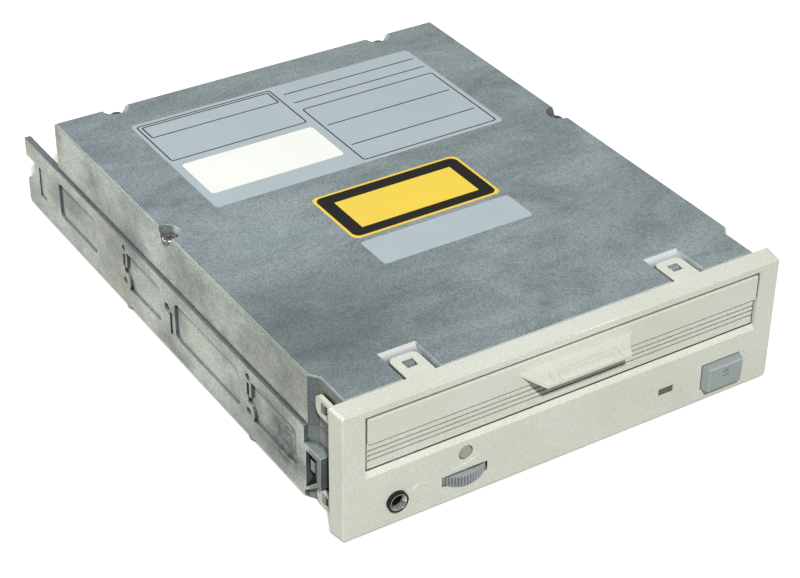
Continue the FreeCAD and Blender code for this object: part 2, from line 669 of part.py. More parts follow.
def bezel():
    tabs = [top_tab(middle) for middle in TOP_TAB_X]
    for span in SIDE_TAB_SPANS:
        tabs += [side_tab(span), mirrored(side_tab(span))]
    return joined(bezel_body(), *tabs)


def side_hook(span):
    """Wedge on the neck, on the right, that stands in the hole of a side tab."""
    half = TAB_HOLE / 2 - HOOK_FIT
    middle = sum(span) / 2
    rear = SIDE_TAB_REAR - TAB_HOLE_REAR_EDGE - HOOK_FIT
    front = rear - 2 * half
    reach = NECK_HALF + SIDE_TAB_GAP + SIDE_TAB_THICK
    root = NECK_HALF - COVER_WALL / 2
    wedge = [(root, front), (NECK_HALF, front), (reach, rear - half), (reach, rear), (root, rear)]
    return prism_z(wedge, (middle - half, middle + half))


# Door with its hinge rod and spring

def door_section():
    """Solid of the door's section between its two ends: band, ribbed panel and round lower edge."""
    top = OPENING_TOP - DOOR_TOP_GAP
    sweep = PIVOT_RISE - MOVE_GAP
    reach = PIVOT_DEPTH - DOOR_RIB_FRONT
    corner_drop = math.sqrt(sweep ** 2 - reach ** 2)
    half_turn = math.atan2(corner_drop, reach) / 2 + math.pi / 4
    back = DOOR_RIB_FRONT + DOOR_PANEL
    barrel_rear = PIVOT_DEPTH + DOOR_BARREL_RADIUS
    barrel_top = PIVOT_Z + DOOR_BARREL_RADIUS
    left = -OPENING_HALF + DOOR_LEFT_GAP

    def at(y, z):
        return V(left, y, z)

    heel = at(DOOR_RIB_FRONT, PIVOT_Z - corner_drop)
    middle = at(PIVOT_DEPTH - sweep * math.cos(half_turn), PIVOT_Z - sweep * math.sin(half_turn))
    toe = at(PIVOT_DEPTH, PIVOT_Z - sweep)
    arc = Part.Arc(heel, middle, toe).toShape()
    rest = [toe, at(barrel_rear, PIVOT_Z - DOOR_BARREL_RADIUS / 2), at(barrel_rear, PIVOT_Z),
            at(PIVOT_DEPTH, barrel_top), at(back, barrel_top + DOOR_PANEL / 2),
            at(back, DOOR_BAND_BOTTOM), at(DOOR_BAND_FRONT + DOOR_PANEL, DOOR_BAND_BOTTOM + DOOR_PANEL),
            at(DOOR_BAND_FRONT + DOOR_PANEL, top), at(DOOR_BAND_FRONT, top),
            at(DOOR_BAND_FRONT, DOOR_BAND_BOTTOM), at(DOOR_RIB_FRONT, DOOR_BAND_BOTTOM), heel]
    section = Part.Face(Part.Wire([arc] + [Part.makeLine(a, b) for a, b in zip(rest, rest[1:])]))
    panel = section.extrude(V(2 * OPENING_HALF - DOOR_LEFT_GAP - DOOR_RIGHT_GAP, 0, 0))
    return rounded(panel, DOOR_EDGE_ROUND, lambda b: b.XLength > LIP_ROOT_WIDTH
                   and b.YMax < DOOR_RIB_FRONT and b.ZMin > DOOR_BAND_BOTTOM)


def lip_section(left):
    """Face of the lip seen from its left end: a thin shelf that droops towards its tip."""
    middle_y = (DOOR_BAND_FRONT - LIP_REACH) / 2
    inside = DOOR_BAND_FRONT + DOOR_PANEL / 2

    def at(y, z):
        return V(left, y, z)

    def hollow(root_z, tip_z):
        return at(middle_y, (root_z + tip_z) / 2 - LIP_SCOOP)

    root_low, tip_low = LIP_TOP - LIP_ROOT_THICK, LIP_TIP_TOP - LIP_TIP_THICK
    tip, tip_under = at(-LIP_REACH, LIP_TIP_TOP), at(-LIP_REACH, tip_low)
    root, root_under = at(DOOR_BAND_FRONT, LIP_TOP), at(DOOR_BAND_FRONT, root_low)
    top = Part.Arc(root, hollow(LIP_TOP, LIP_TIP_TOP), tip).toShape()
    under = Part.Arc(tip_under, hollow(root_low, tip_low), root_under).toShape()
    rest = [root_under, at(inside, root_low), at(inside, LIP_TOP), root]
    back = [Part.makeLine(a, b) for a, b in zip(rest, rest[1:])]
    return Part.Face(Part.Wire([top, Part.makeLine(tip, tip_under), under] + back))


def lip_plan(centre, height):
    """Prism of the lip's outline from above, with hollow sides."""
    root_half, tip_half = LIP_ROOT_WIDTH / 2, LIP_TIP_WIDTH / 2
    waist_half = (root_half + tip_half) / 2 - LIP_WAIST
    waist_y = (DOOR_BAND_FRONT - LIP_REACH) / 2
    inside = DOOR_BAND_FRONT + DOOR_PANEL

    def at(half, y):
        return V(centre + half, y, height[0])

    left = Part.Arc(at(-root_half, DOOR_BAND_FRONT), at(-waist_half, waist_y), at(-tip_half, -LIP_REACH)).toShape()
    right = Part.Arc(at(tip_half, -LIP_REACH), at(waist_half, waist_y), at(root_half, DOOR_BAND_FRONT)).toShape()
    tip = Part.makeLine(at(-tip_half, -LIP_REACH), at(tip_half, -LIP_REACH))
    rest = [at(root_half, DOOR_BAND_FRONT), at(root_half, inside), at(-root_half, inside),
            at(-root_half, DOOR_BAND_FRONT)]
    back = [Part.makeLine(a, b) for a, b in zip(rest, rest[1:])]
    return Part.Face(Part.Wire([left, tip, right] + back)).extrude(V(0, 0, height[1] - height[0]))


def door_lip():
    """Finger lip on the band, narrower at its tip, with engraved grip lines."""
    centre = (DOOR_LEFT_GAP - DOOR_RIGHT_GAP) / 2 + LIP_SHIFT
    height = (LIP_TIP_TOP - LIP_TIP_THICK - LIP_ROOT_THICK, LIP_TOP + CUT_OVER)
    shelf = lip_section(centre - LIP_ROOT_WIDTH / 2).extrude(V(LIP_ROOT_WIDTH, 0, 0))
    shelf = shelf.common(lip_plan(centre, height))
    skin = shelf.cut(shelf.translated(V(0, 0, -GRIP_DEPTH)))
    return shelf.cut([skin.common(frame) for frame in grip_frames(centre, height)])


def grip_frames(centre, height):
    """Prisms of the grip lines: frames that are open towards the tip of the lip."""
    frames = []
    for half, back in GRIP_FRAMES:
        inner_half = half - GRIP_LINE
        outer = block((centre - half, centre + half), (-LIP_REACH + GRIP_LINE, back), height)
        inner = block((centre - inner_half, centre + inner_half), (-LIP_REACH, back - GRIP_LINE), height)
        frames.append(outer.cut(inner))
    return frames


def caddy_door():
    left, right = -OPENING_HALF + DOOR_LEFT_GAP, OPENING_HALF - DOOR_RIGHT_GAP
    ends = (left - CUT_OVER, right + CUT_OVER)
    panel = joined(door_section(), door_lip())
    tools = [bar_x(PIVOT_DEPTH, PIVOT_Z, ends, HINGE_ROD_RADIUS + RUN_GAP)]
    over = DOOR_BAND_BEVEL + CUT_OVER
    bevel = [(left - CUT_OVER, DOOR_BAND_FRONT - CUT_OVER), (left + over, DOOR_BAND_FRONT - CUT_OVER),
             (left - CUT_OVER, DOOR_BAND_FRONT + over)]
    tools.append(prism_z(bevel, (DOOR_BAND_BOTTOM, OPENING_TOP)))
    for row in range(GROOVE_COUNT):
        z = GROOVE_TOP - row * GROOVE_PITCH
        tools.append(block(ends, (DOOR_RIB_FRONT - CUT_OVER, DOOR_RIB_FRONT + GROOVE_DEPTH),
                           (z - GROOVE_WIDTH / 2, z + GROOVE_WIDTH / 2)))
    room = SPRING_COIL_RADIUS + SPRING_WIRE_RADIUS + MOVE_GAP
    half = SPRING_NOTCH_WIDTH / 2
    tools.append(block((SPRING_NOTCH_X - half, SPRING_NOTCH_X + half),
                       (PIVOT_DEPTH - room, PIVOT_DEPTH + 2 * DOOR_BARREL_RADIUS),
                       (PIVOT_Z - PIVOT_RISE, PIVOT_Z + room + DOOR_PANEL)))
    return panel.cut(tools)


def door_hinge_rod():
    end = OPENING_HALF + COLUMN_WALL
    return bar_x(PIVOT_DEPTH, PIVOT_Z, (-end, end), HINGE_ROD_RADIUS)


def door_spring():
    """Torsion spring on the rod, in the door's notch, with one leg up the door and one leg back."""
    length = SPRING_PITCH * SPRING_TURNS
    start_x = SPRING_NOTCH_X - length / 2
    helix = Part.makeHelix(SPRING_PITCH, length, SPRING_COIL_RADIUS)
    ring = Part.Wire(Part.makeCircle(SPRING_WIRE_RADIUS, V(SPRING_COIL_RADIUS, 0, 0), V(0, 1, 0)))
    coil = helix.makePipeShell([ring], True, True)
    coil.rotate(V(0, 0, 0), V(0, 1, 0), 90)
    coil.translate(V(start_x, PIVOT_DEPTH, PIVOT_Z))
    low = PIVOT_Z - SPRING_COIL_RADIUS
    leg = bar_y(start_x, low, (PIVOT_DEPTH, PIVOT_DEPTH + SPRING_LEG), SPRING_WIRE_RADIUS)
    other = bar_y(start_x + length, low, (PIVOT_DEPTH, PIVOT_DEPTH + SPRING_LEG / 2), SPRING_WIRE_RADIUS)
    return joined(coil, leg, other)


# Controls behind the bezel

def headphone_jack():
    half = JACK_BODY_WIDTH / 2
    front = BEZEL_SKIN + MOVE_GAP
    top = 2 * JACK_Z - FRONT_BOARD_TOP
    body = block((JACK_X - half, JACK_X + half), (front, front + JACK_BODY_DEPTH), (FRONT_BOARD_TOP, top))
    collar = bar_y(JACK_X, JACK_Z, (-JACK_COLLAR_PROUD, front), JACK_COLLAR_RADIUS)
    seat = bar_y(JACK_X, JACK_Z, (-JACK_COLLAR_PROUD - CUT_OVER, -JACK_COLLAR_PROUD + JACK_RING_DEPTH),
                 JACK_RING_RADIUS)
    bore = bar_y(JACK_X, JACK_Z, (-JACK_COLLAR_PROUD, JACK_BORE_LENGTH - JACK_COLLAR_PROUD), JACK_BORE_RADIUS)
    return joined(body, collar).cut([seat, bore])


def jack_ring():
    """Metal funnel in the mouth of the jack."""
    outer = JACK_RING_RADIUS - SEAT_GAP
    ring = bar_y(JACK_X, JACK_Z, (-JACK_COLLAR_PROUD, JACK_RING_DEPTH - JACK_COLLAR_PROUD), outer)
    mouth = V(JACK_X, -JACK_COLLAR_PROUD, JACK_Z)
    return ring.cut(Part.makeCone(outer - JACK_RING_RIM, JACK_BORE_RADIUS, JACK_RING_DEPTH, mouth, V(0, 1, 0)))


def volume_wheel():
    """Thumb wheel with a toothed rim on a short pin."""
    low, high = WHEEL_Z - WHEEL_THICK / 2, WHEEL_Z + WHEEL_THICK / 2
    points = []
    for step in range(2 * WHEEL_TEETH):
        radius = WHEEL_RADIUS - WHEEL_TOOTH_DEPTH * (step % 2)
        angle = math.pi * step / WHEEL_TEETH
        points.append((WHEEL_X + radius * math.cos(angle), WHEEL_Y + radius * math.sin(angle)))
    rim = prism_z(points, (low, high))
    dish = post(WHEEL_X, WHEEL_Y, (high - WHEEL_THICK / 4, high + CUT_OVER), WHEEL_DISH_RADIUS)
    pin = post(WHEEL_X, WHEEL_Y, (FRONT_BOARD_TOP + MOVE_GAP, low), WHEEL_PIN_RADIUS)
    return joined(rim.cut(dish), pin)


def volume_pot():
    half = POT_WIDTH / 2
    front = WHEEL_Y - POT_DEPTH / 2
    top = WHEEL_Z - WHEEL_THICK / 2 - MOVE_GAP
    body = block((WHEEL_X - half, WHEEL_X + half), (front, front + POT_DEPTH), (FRONT_BOARD_TOP, top))
    return body.cut(post(WHEEL_X, WHEEL_Y, (FRONT_BOARD_TOP, top + CUT_OVER), WHEEL_PIN_RADIUS + RUN_GAP))


def access_plug():
    head = bar_y(PLUG_X, PLUG_Z, (PLUG_SUNK, BEZEL_SKIN), PLUG_RADIUS)
    return joined(head, bar_y(PLUG_X, PLUG_Z, (BEZEL_SKIN, BEZEL_SKIN + PLUG_FLANGE), PLUG_RADIUS + PLUG_FLANGE))


def led_lens():
    half_w, half_h = LED_WIDTH / 2, LED_HEIGHT / 2
    rear = BEZEL_SKIN + LED_FLANGE
    window = block((LED_X - half_w, LED_X + half_w), (LED_SUNK, rear), (LED_Z - half_h, LED_Z + half_h))
    wide, tall = half_w + LED_FLANGE, half_h + LED_FLANGE
    return joined(window, block((LED_X - wide, LED_X + wide), (BEZEL_SKIN, rear), (LED_Z - tall, LED_Z + tall)))


def led_lamp():
    front = BEZEL_SKIN + LED_FLANGE + MOVE_GAP
    base_front = front + 2 * LED_DOME_RADIUS
    half = LED_BASE / 2
    dome = bar_y(LED_X, LED_Z, (front + LED_DOME_RADIUS, base_front), LED_DOME_RADIUS)
    tip = Part.makeSphere(LED_DOME_RADIUS, V(LED_X, front + LED_DOME_RADIUS, LED_Z))
    base = block((LED_X - half, LED_X + half), (base_front, base_front + LED_BASE),
                 (FRONT_BOARD_TOP, LED_Z + half))
    return joined(base, dome, tip)


def eject_button():
    """Cap with leaning sides and bevelled front edges, a flange behind the bezel and a stem to the switch."""
    half_w, half_h = BUTTON_WIDTH / 2, BUTTON_HEIGHT / 2
    flange_front = BEZEL_SKIN + MOVE_GAP
    flange_rear = flange_front + BUTTON_FLANGE_THICK
    face_w = half_w - BUTTON_DRAFT
    outline = [(BUTTON_X - half_w, flange_rear), (BUTTON_X - half_w, 0), (BUTTON_X - face_w, -BUTTON_PROUD),
               (BUTTON_X + face_w, -BUTTON_PROUD), (BUTTON_X + half_w, 0), (BUTTON_X + half_w, flange_rear)]
    cap = prism_z(outline, (BUTTON_Z - half_h, BUTTON_Z + half_h))
    cap = bevelled(cap, BUTTON_BEVEL, lambda b: b.YMax < -BUTTON_PROUD / 2)
    wide, tall = half_w + BUTTON_FLANGE, half_h + BUTTON_FLANGE
    flange = block((BUTTON_X - wide, BUTTON_X + wide), (flange_front, flange_rear),
                   (BUTTON_Z - tall, BUTTON_Z + tall))
    stem = bar_y(BUTTON_X, BUTTON_Z, (flange_rear, flange_rear + BUTTON_STEM_LENGTH), BUTTON_STEM_RADIUS)
    return joined(cap, flange, stem)


def plunger_front():
    """Front end of the switch plunger, just behind the button's stem."""
    return BEZEL_SKIN + BUTTON_FLANGE_THICK + BUTTON_STEM_LENGTH + 2 * MOVE_GAP


def eject_switch():
    half = SWITCH_WIDTH / 2
    front = plunger_front() + PLUNGER_PROUD
    body = block((BUTTON_X - half, BUTTON_X + half), (front, front + SWITCH_DEPTH),
                 (FRONT_BOARD_TOP, BUTTON_Z + SWITCH_HEIGHT / 2))
    depth = PLUNGER_INSIDE + BUTTON_TRAVEL + MOVE_GAP
    return body.cut(bar_y(BUTTON_X, BUTTON_Z, (front - CUT_OVER, front + depth), PLUNGER_RADIUS + RUN_GAP))


def switch_plunger():
    front = plunger_front()
    return bar_y(BUTTON_X, BUTTON_Z, (front, front + PLUNGER_PROUD + PLUNGER_INSIDE), PLUNGER_RADIUS)


def front_board():
    return block((-FRONT_BOARD_HALF, FRONT_BOARD_HALF), (FRONT_BOARD_FRONT, FRONT_BOARD_REAR),
                 (FRONT_BOARD_Z, FRONT_BOARD_TOP))


def front_ribbon():
    """Flat cable that arches from the front board to the main board."""
    half = RIBBON_WIDTH / 2
    peak = max(FRONT_BOARD_TOP, BOARD_TOP) + RIBBON_ARCH
    line = [(FRONT_BOARD_REAR - RIBBON_FOOT, FRONT_BOARD_TOP), (FRONT_BOARD_REAR, FRONT_BOARD_TOP),
            (FRONT_BOARD_REAR + RIBBON_ARCH, peak), (BOARD_FRONT - RIBBON_ARCH, peak),
            (BOARD_FRONT, BOARD_TOP), (BOARD_FRONT + RIBBON_FOOT, BOARD_TOP)]
    upper = [(y, z + RIBBON_THICK) for y, z in line]
    return prism_x(line + upper[::-1], (-half, half))


# Cast chassis

def chassis_wall():
    """Right side wall with its step to the narrower neck, its ledge and the floor rim."""
    half, inner = BODY_HALF, WALL_INNER
    foot = half - CHASSIS_CHAMFER
    section = [(inner, BODY_BASE), (foot, BODY_BASE), (half, BODY_BASE + CHASSIS_CHAMFER), (half, SEAM_Z),
               (inner, SEAM_Z)]
    wall = prism_y(section, (STEP_REAR, WING_REAR))
    neck_inner = NECK_HALF - CHASSIS_WALL
    plan = [(NECK_HALF, CASE_FRONT), (NECK_HALF, NECK_REAR), (half - CHASSIS_CHAMFER, STEP_REAR),
            (half - CHASSIS_CHAMFER, STEP_REAR + CHASSIS_WALL), (neck_inner, STEP_REAR + CHASSIS_WALL),
            (neck_inner, CASE_FRONT)]
    neck = prism_z(plan, (BODY_BASE, SEAM_Z))
    corner = prism_z([(foot, STEP_REAR), (half, STEP_REAR), (half, STEP_REAR + CHASSIS_WALL),
                      (foot, STEP_REAR + CHASSIS_WALL)], (BODY_BASE + CHASSIS_CHAMFER, SEAM_Z))
    lengths = (FRONT_FLOOR_REAR - CHASSIS_WALL, REAR_FLOOR_FRONT + CHASSIS_WALL)
    ledge = block((inner - LEDGE_WIDTH, inner + CHASSIS_WALL / 2), lengths, (LEDGE_BOTTOM, LEDGE_TOP))
    rim = block((PLATE_HALF + PLATE_FIT, inner + CHASSIS_WALL / 2), lengths, (BODY_BASE, LEDGE_TOP))
    return joined(wall, neck, corner, ledge, rim)


def chassis_posts():
    """Posts and bosses of the right side that carry the boards, the deck and the screws."""
    posts = []
    for y in BOARD_POST_Y:
        posts.append(post(BOARD_POST_X, y, (LEDGE_BOTTOM, BOARD_Z), BOARD_POST_RADIUS))
    for y in DAMPER_Y:
        posts.append(post(DAMPER_X, y, (LEDGE_BOTTOM, DECK_Z - DAMPER_FOOT), POST_RADIUS))
    for y in HOLE_ROWS:
        posts.append(post(HOLE_X, y, (BODY_BASE, BODY_BASE + HOLE_BOTTOM_DEPTH + CHASSIS_WALL / 2),
                          HOLE_BOSS_RADIUS))
        for rise in (HOLE_SIDE_LOW, HOLE_SIDE_HIGH):
            posts.append(bar_x(y, BODY_BASE + rise, (BODY_HALF - HOLE_SIDE_DEPTH, BODY_HALF), HOLE_BOSS_RADIUS))
    screw_x = COVER_HALF - SCOOP_INSET - SCREW_INSET
    boss = post(screw_x, SCOOP_Y, (SEAM_Z - CHASSIS_POST_DROP, SEAM_Z), SCOOP_FLOOR_RADIUS + SCOOP_WALL)
    posts.append(boss.common(block((0, BODY_HALF), (0, WING_REAR), (0, SEAM_Z))))
    return posts


def chassis_holes():
    """Cutting tools of the right side: tapped holes and the relief of the outer face."""
    tools = []
    for y in HOLE_ROWS:
        tools.append(post(HOLE_X, y, (BODY_BASE - CUT_OVER, BODY_BASE + HOLE_BOTTOM_DEPTH), TAP_RADIUS))
        for rise in (HOLE_SIDE_LOW, HOLE_SIDE_HIGH):
            deep = (BODY_HALF - HOLE_SIDE_DEPTH - CUT_OVER, BODY_HALF + CUT_OVER)
            tools.append(bar_x(y, BODY_BASE + rise, deep, TAP_RADIUS))
    outside = (BODY_HALF - RELIEF_DEPTH, BODY_HALF + CUT_OVER)
    ahead = tuple((y - reach, y) for y, reach in zip(HOLE_ROWS, RELIEF_AHEAD))
    pads = []
    for y in HOLE_ROWS:
        pads.append(bar_x(y, BODY_BASE + HOLE_SIDE_LOW, outside, HOLE_PAD_RADIUS))
        pads.append(block(outside, (y - SLOT_PAD_HALF, y + SLOT_PAD_HALF), (MOUNT_SLOT[0], RELIEF_TOP)))
    for span in RELIEF_SPANS + ahead:
        panel = block(outside, span, (RELIEF_BOTTOM, RELIEF_TOP))
        panel = rounded(panel, RELIEF_CORNER, lambda b: b.YLength + b.ZLength < b.XLength * 0.01)
        tools.append(panel.cut(pads))
    for y in HOLE_ROWS:
        tools.append(block((BODY_HALF - MOUNT_SLOT_DEPTH, BODY_HALF + CUT_OVER),
                           (y - MOUNT_SLOT_HALF, y + MOUNT_SLOT_HALF), MOUNT_SLOT))
    tools.append(block(outside, LATCH_CHANNEL, (RELIEF_BOTTOM, LATCH_HOLE_Z)))
    tools.append(bar_x(LATCH_HOLE_Y, LATCH_HOLE_Z, (WALL_INNER - CUT_OVER, BODY_HALF + CUT_OVER),
                       LATCH_HOLE_RADIUS))
    tools.append(block((BODY_HALF - WING_POCKET_DEPTH, BODY_HALF + CUT_OVER), WING_POCKET,
                       (RELIEF_BOTTOM, WING_NOTCH_TOP)))
    rear = WING_REAR + CUT_OVER
    notch_front = WING_REAR - WING_NOTCH_DEPTH
    across = (WALL_INNER - CUT_OVER, BODY_HALF + CUT_OVER)
    notch = [(notch_front, WING_NOTCH_INNER), (WING_REAR, WING_NOTCH_OUTER), (rear, WING_NOTCH_OUTER),
             (rear, WING_NOTCH_TOP), (notch_front, WING_NOTCH_TOP)]
    tools.append(prism_x(notch, across))
    corner = [(WING_REAR - WING_CORNER, BODY_BASE - CUT_OVER), (rear, BODY_BASE - CUT_OVER),
              (rear, BODY_BASE + WING_CORNER), (WING_REAR, BODY_BASE + WING_CORNER),
              (WING_REAR - WING_CORNER, BODY_BASE)]
    tools.append(prism_x(corner, across))
    screw_x = COVER_HALF - SCOOP_INSET - SCREW_INSET
    tools.append(post(screw_x, SCOOP_Y, (SEAM_Z - CHASSIS_POST_DROP, SEAM_Z + CUT_OVER), TAP_RADIUS))
    for x, places in ((BOARD_POST_X, BOARD_POST_Y), (DAMPER_X, DAMPER_Y)):
        for y in places:
            tools.append(post(x, y, (LEDGE_TOP, DECK_Z), TAP_RADIUS))
    for y in PLATE_SCREW_Y:
        tools.append(post(PLATE_SCREW_X, y, (LEDGE_BOTTOM - CUT_OVER, LEDGE_TOP + CUT_OVER), TAP_RADIUS))
    return tools


def earth_bracket():
    """Cast frame beside the neck, front left, with a sloping lower web."""
    neck_inner = NECK_HALF - CHASSIS_WALL
    rear = STEP_REAR + CHASSIS_WALL
    web_low = BRACKET_WEB_FRONT - BRACKET_WEB
    outline = [(BRACKET_FRONT, web_low), (BRACKET_FRONT + BRACKET_WEB, web_low),
               (STEP_REAR, BRACKET_WEB_REAR - BRACKET_WEB), (rear, BRACKET_WEB_REAR - BRACKET_WEB),
               (rear, BRACKET_TOP), (BRACKET_FRONT, BRACKET_TOP)]
    return prism_x(outline, (-BODY_HALF, -neck_inner))


def earth_window():
    """Cutting tool of the window in that frame."""
    front, rear = BRACKET_FRONT + BRACKET_WINDOW_FRAME, STEP_REAR - BRACKET_WINDOW_FRAME / 2
    top = BRACKET_TOP - BRACKET_WINDOW_FRAME
    outline = [(front, BRACKET_WEB_FRONT), (rear, BRACKET_WEB_REAR + BRACKET_WEB / 2), (rear, top), (front, top)]
    return prism_x(outline, (-BODY_HALF - CUT_OVER, -BODY_HALF + BRACKET_WINDOW_DEPTH))


def chassis():
    right = joined(chassis_wall(), *chassis_posts())
    right = joined(right, side_hook(SIDE_TAB_SPANS[0])).cut(chassis_holes())
    front_floor = block((-NECK_HALF, NECK_HALF), (CASE_FRONT, FRONT_FLOOR_REAR),
                        (BODY_BASE, BODY_BASE + FRONT_FLOOR_THICK))
    rear_floor = block((-WALL_INNER - CHASSIS_WALL / 2, WALL_INNER + CHASSIS_WALL / 2),
                       (REAR_FLOOR_FRONT, REAR_FLOOR_FRONT + REAR_FLOOR_LENGTH), (BODY_BASE, LEDGE_TOP))
    rear_wall = block((-WALL_INNER - CHASSIS_WALL / 2, WALL_INNER + CHASSIS_WALL / 2),
                      (COVER_REAR - CHASSIS_WALL, COVER_REAR), (REAR_WALL_BOTTOM, SEAM_Z))
    pieces = [front_floor, rear_floor, rear_wall, earth_bracket()]
    for x in (-FRONT_POST_X, 0, FRONT_POST_X):
        pieces.append(post(x, FRONT_POST_Y, (BODY_BASE, FRONT_BOARD_Z), FRONT_POST_RADIUS))
    rear_screw_y = COVER_REAR - SCOOP_INSET - SCREW_INSET
    inside = block((-WALL_INNER, WALL_INNER), (0, COVER_REAR), (0, SEAM_Z))
    for x in SCOOP_REAR_X:
        boss = post(x, rear_screw_y, (REAR_WALL_BOTTOM, SEAM_Z), SCOOP_FLOOR_RADIUS + SCOOP_WALL)
        pieces.append(boss.common(inside))
    body = joined(right, mirrored(right), *pieces)
    span = (REAR_WALL_BOTTOM - CUT_OVER, SEAM_Z + CUT_OVER)
    taps = [post(x, rear_screw_y, span, TAP_RADIUS) for x in SCOOP_REAR_X]
    return body.cut(taps + [earth_window()])


def ground_spring():
    """Bowed contact strip in the window of the earth bracket."""
    floor_x = -BODY_HALF + BRACKET_WINDOW_DEPTH
    front = BRACKET_FRONT + BRACKET_WINDOW_FRAME + MOVE_GAP
    rear = STEP_REAR - BRACKET_WINDOW_FRAME / 2 - MOVE_GAP
    crest_x = -BODY_HALF + SPRING_STRIP
    third = (rear - front) / 3
    line = [(floor_x - SPRING_STRIP, front), (crest_x, front + third), (crest_x, rear - third),
            (floor_x - SPRING_STRIP, rear)]
    strip = line + [(x + SPRING_STRIP, y) for x, y in reversed(line)]
    half = SPRING_STRIP_WIDTH / 2
    return prism_z(strip, (SPRING_STRIP_Z - half, SPRING_STRIP_Z + half))


def bottom_plate():
    """Pressed sheet under the chassis, with two long beads."""
    front, rear = FRONT_FLOOR_REAR + PLATE_FIT, REAR_FLOOR_FRONT - PLATE_FIT
    plate = block((-PLATE_HALF, PLATE_HALF), (front, rear), (BODY_BASE, LEDGE_BOTTOM))
    plate = rounded(plate, PLATE_BEAD_WIDTH / 2, is_upright)
    bead_x = PLATE_HALF / 2
    for x in (-bead_x, bead_x):
        across = (x - PLATE_BEAD_WIDTH / 2, x + PLATE_BEAD_WIDTH / 2)
        along = (front + 4 * PLATE_BEAD_WIDTH, rear - 4 * PLATE_BEAD_WIDTH)
        rise = (LEDGE_BOTTOM - PLATE_SHEET / 2, LEDGE_BOTTOM + PLATE_BEAD_RISE)
        plate = joined(plate, block(across, along, rise))
        inner = (x - PLATE_BEAD_WIDTH / 4, x + PLATE_BEAD_WIDTH / 4)
        plate = plate.cut(block(inner, along, (BODY_BASE - CUT_OVER, BODY_BASE + PLATE_BEAD_RISE)))
    holes = [post(x, y, (BODY_BASE - CUT_OVER, LEDGE_BOTTOM + CUT_OVER), SCREW_SHANK_RADIUS + COLLAR_FIT)
             for x in (-PLATE_SCREW_X, PLATE_SCREW_X) for y in PLATE_SCREW_Y]
    wide, narrow = PLATE_SCREW_HEAD + SEAT_GAP, SCREW_SHANK_RADIUS + COLLAR_FIT
    sinks = [Part.makeCone(wide, narrow, PLATE_SHEET, V(x, y, BODY_BASE))
             for x in (-PLATE_SCREW_X, PLATE_SCREW_X) for y in PLATE_SCREW_Y]
    return plate.cut(holes + sinks)


def bottom_screws():
    screws = []
    for x in (-PLATE_SCREW_X, PLATE_SCREW_X):
        for y in PLATE_SCREW_Y:
            head = Part.makeCone(PLATE_SCREW_HEAD, SCREW_SHANK_RADIUS, PLATE_SHEET, V(x, y, BODY_BASE))
            screws.append(joined(head, post(x, y, (BODY_BASE + PLATE_SHEET / 2, LEDGE_TOP), SCREW_SHANK_RADIUS)))
    return screws


# Cast cover

def cover_plan(grow, front):
    """Plan of the cover with its narrower neck, grown outwards by grow."""
    right = [(NECK_HALF + grow, front), (NECK_HALF + grow, NECK_REAR), (COVER_HALF + grow, STEP_REAR),
             (COVER_HALF + grow, COVER_REAR + grow)]
    return right + [(-x, y) for x, y in reversed(right)]


def scoop_places():
    """Centres of the screw scoops, each with the way from the scoop towards its screw."""
    edge = COVER_HALF - SCOOP_INSET
    sides = [((-edge, SCOOP_Y), (SCREW_INSET, 0)), ((edge, SCOOP_Y), (-SCREW_INSET, 0))]
    rear = COVER_REAR - SCOOP_INSET
    return sides + [((x, rear), (0, -SCREW_INSET)) for x in SCOOP_REAR_X]


def scoop_cone(centre, screw, top, grow):
    """Leaning cone from the floor about the screw up to the scoop's rim, grown outwards by grow."""
    low = Part.makeCircle(SCOOP_FLOOR_RADIUS + grow, V(screw[0], screw[1], SCOOP_FLOOR))
    high = Part.makeCircle(SCOOP_RADIUS + grow, V(centre[0], centre[1], top))
    return Part.makeLoft([Part.Wire(low), Part.Wire(high)], True, True)


def tab_recess(middle):
    """Cutting tool of the recess for a top tab, with a ramp at its rear and a sloping right wall."""
    half = TOP_TAB_WIDTH / 2 + RECESS_SIDE
    foot, brow = middle + half, middle + half + RECESS_FLARE
    floor = ROOF_Z - RECESS_FLOOR_DROP
    rear = TOP_TAB_REAR + MOVE_GAP
    section = [(CASE_FRONT - CUT_OVER, floor), (rear, floor), (rear + RECESS_RAMP, ROOF_Z),
               (rear + RECESS_RAMP, ROOF_Z + CUT_OVER), (CASE_FRONT - CUT_OVER, ROOF_Z + CUT_OVER)]
    wall = prism_y([(foot, floor), (brow, ROOF_Z), (brow, floor)], (CASE_FRONT - CUT_OVER, rear + RECESS_RAMP))
    return prism_x(section, (middle - half, brow)).cut(wall)


def recess_bed(middle):
    """Thicker roof under the recess of a top tab."""
    half = TOP_TAB_WIDTH / 2 + RECESS_SIDE + COVER_WALL
    return block((middle - half, middle + half), (CASE_FRONT, TOP_TAB_REAR + RECESS_RAMP + COVER_WALL),
                 (ROOF_Z - RECESS_FLOOR_DROP - COVER_ROOF / 2, ROOF_Z - COVER_ROOF / 2))


def top_hook(middle):
    """Cast hook that stands in the hole of a top tab."""
    half = TAB_HOLE / 2 - HOOK_FIT
    rear = TOP_TAB_REAR - TAB_HOLE_REAR_EDGE - HOOK_FIT
    floor = ROOF_Z - RECESS_FLOOR_DROP - COVER_ROOF / 4
    wedge = [(rear - 2 * half, floor), (rear, floor), (rear, ROOF_Z - TOP_TAB_THICK / 8),
             (rear - half, ROOF_Z - TOP_TAB_THICK / 8), (rear - 2 * half, ROOF_Z - TOP_TAB_THICK)]
    return prism_x(wedge, (middle - half, middle + half))


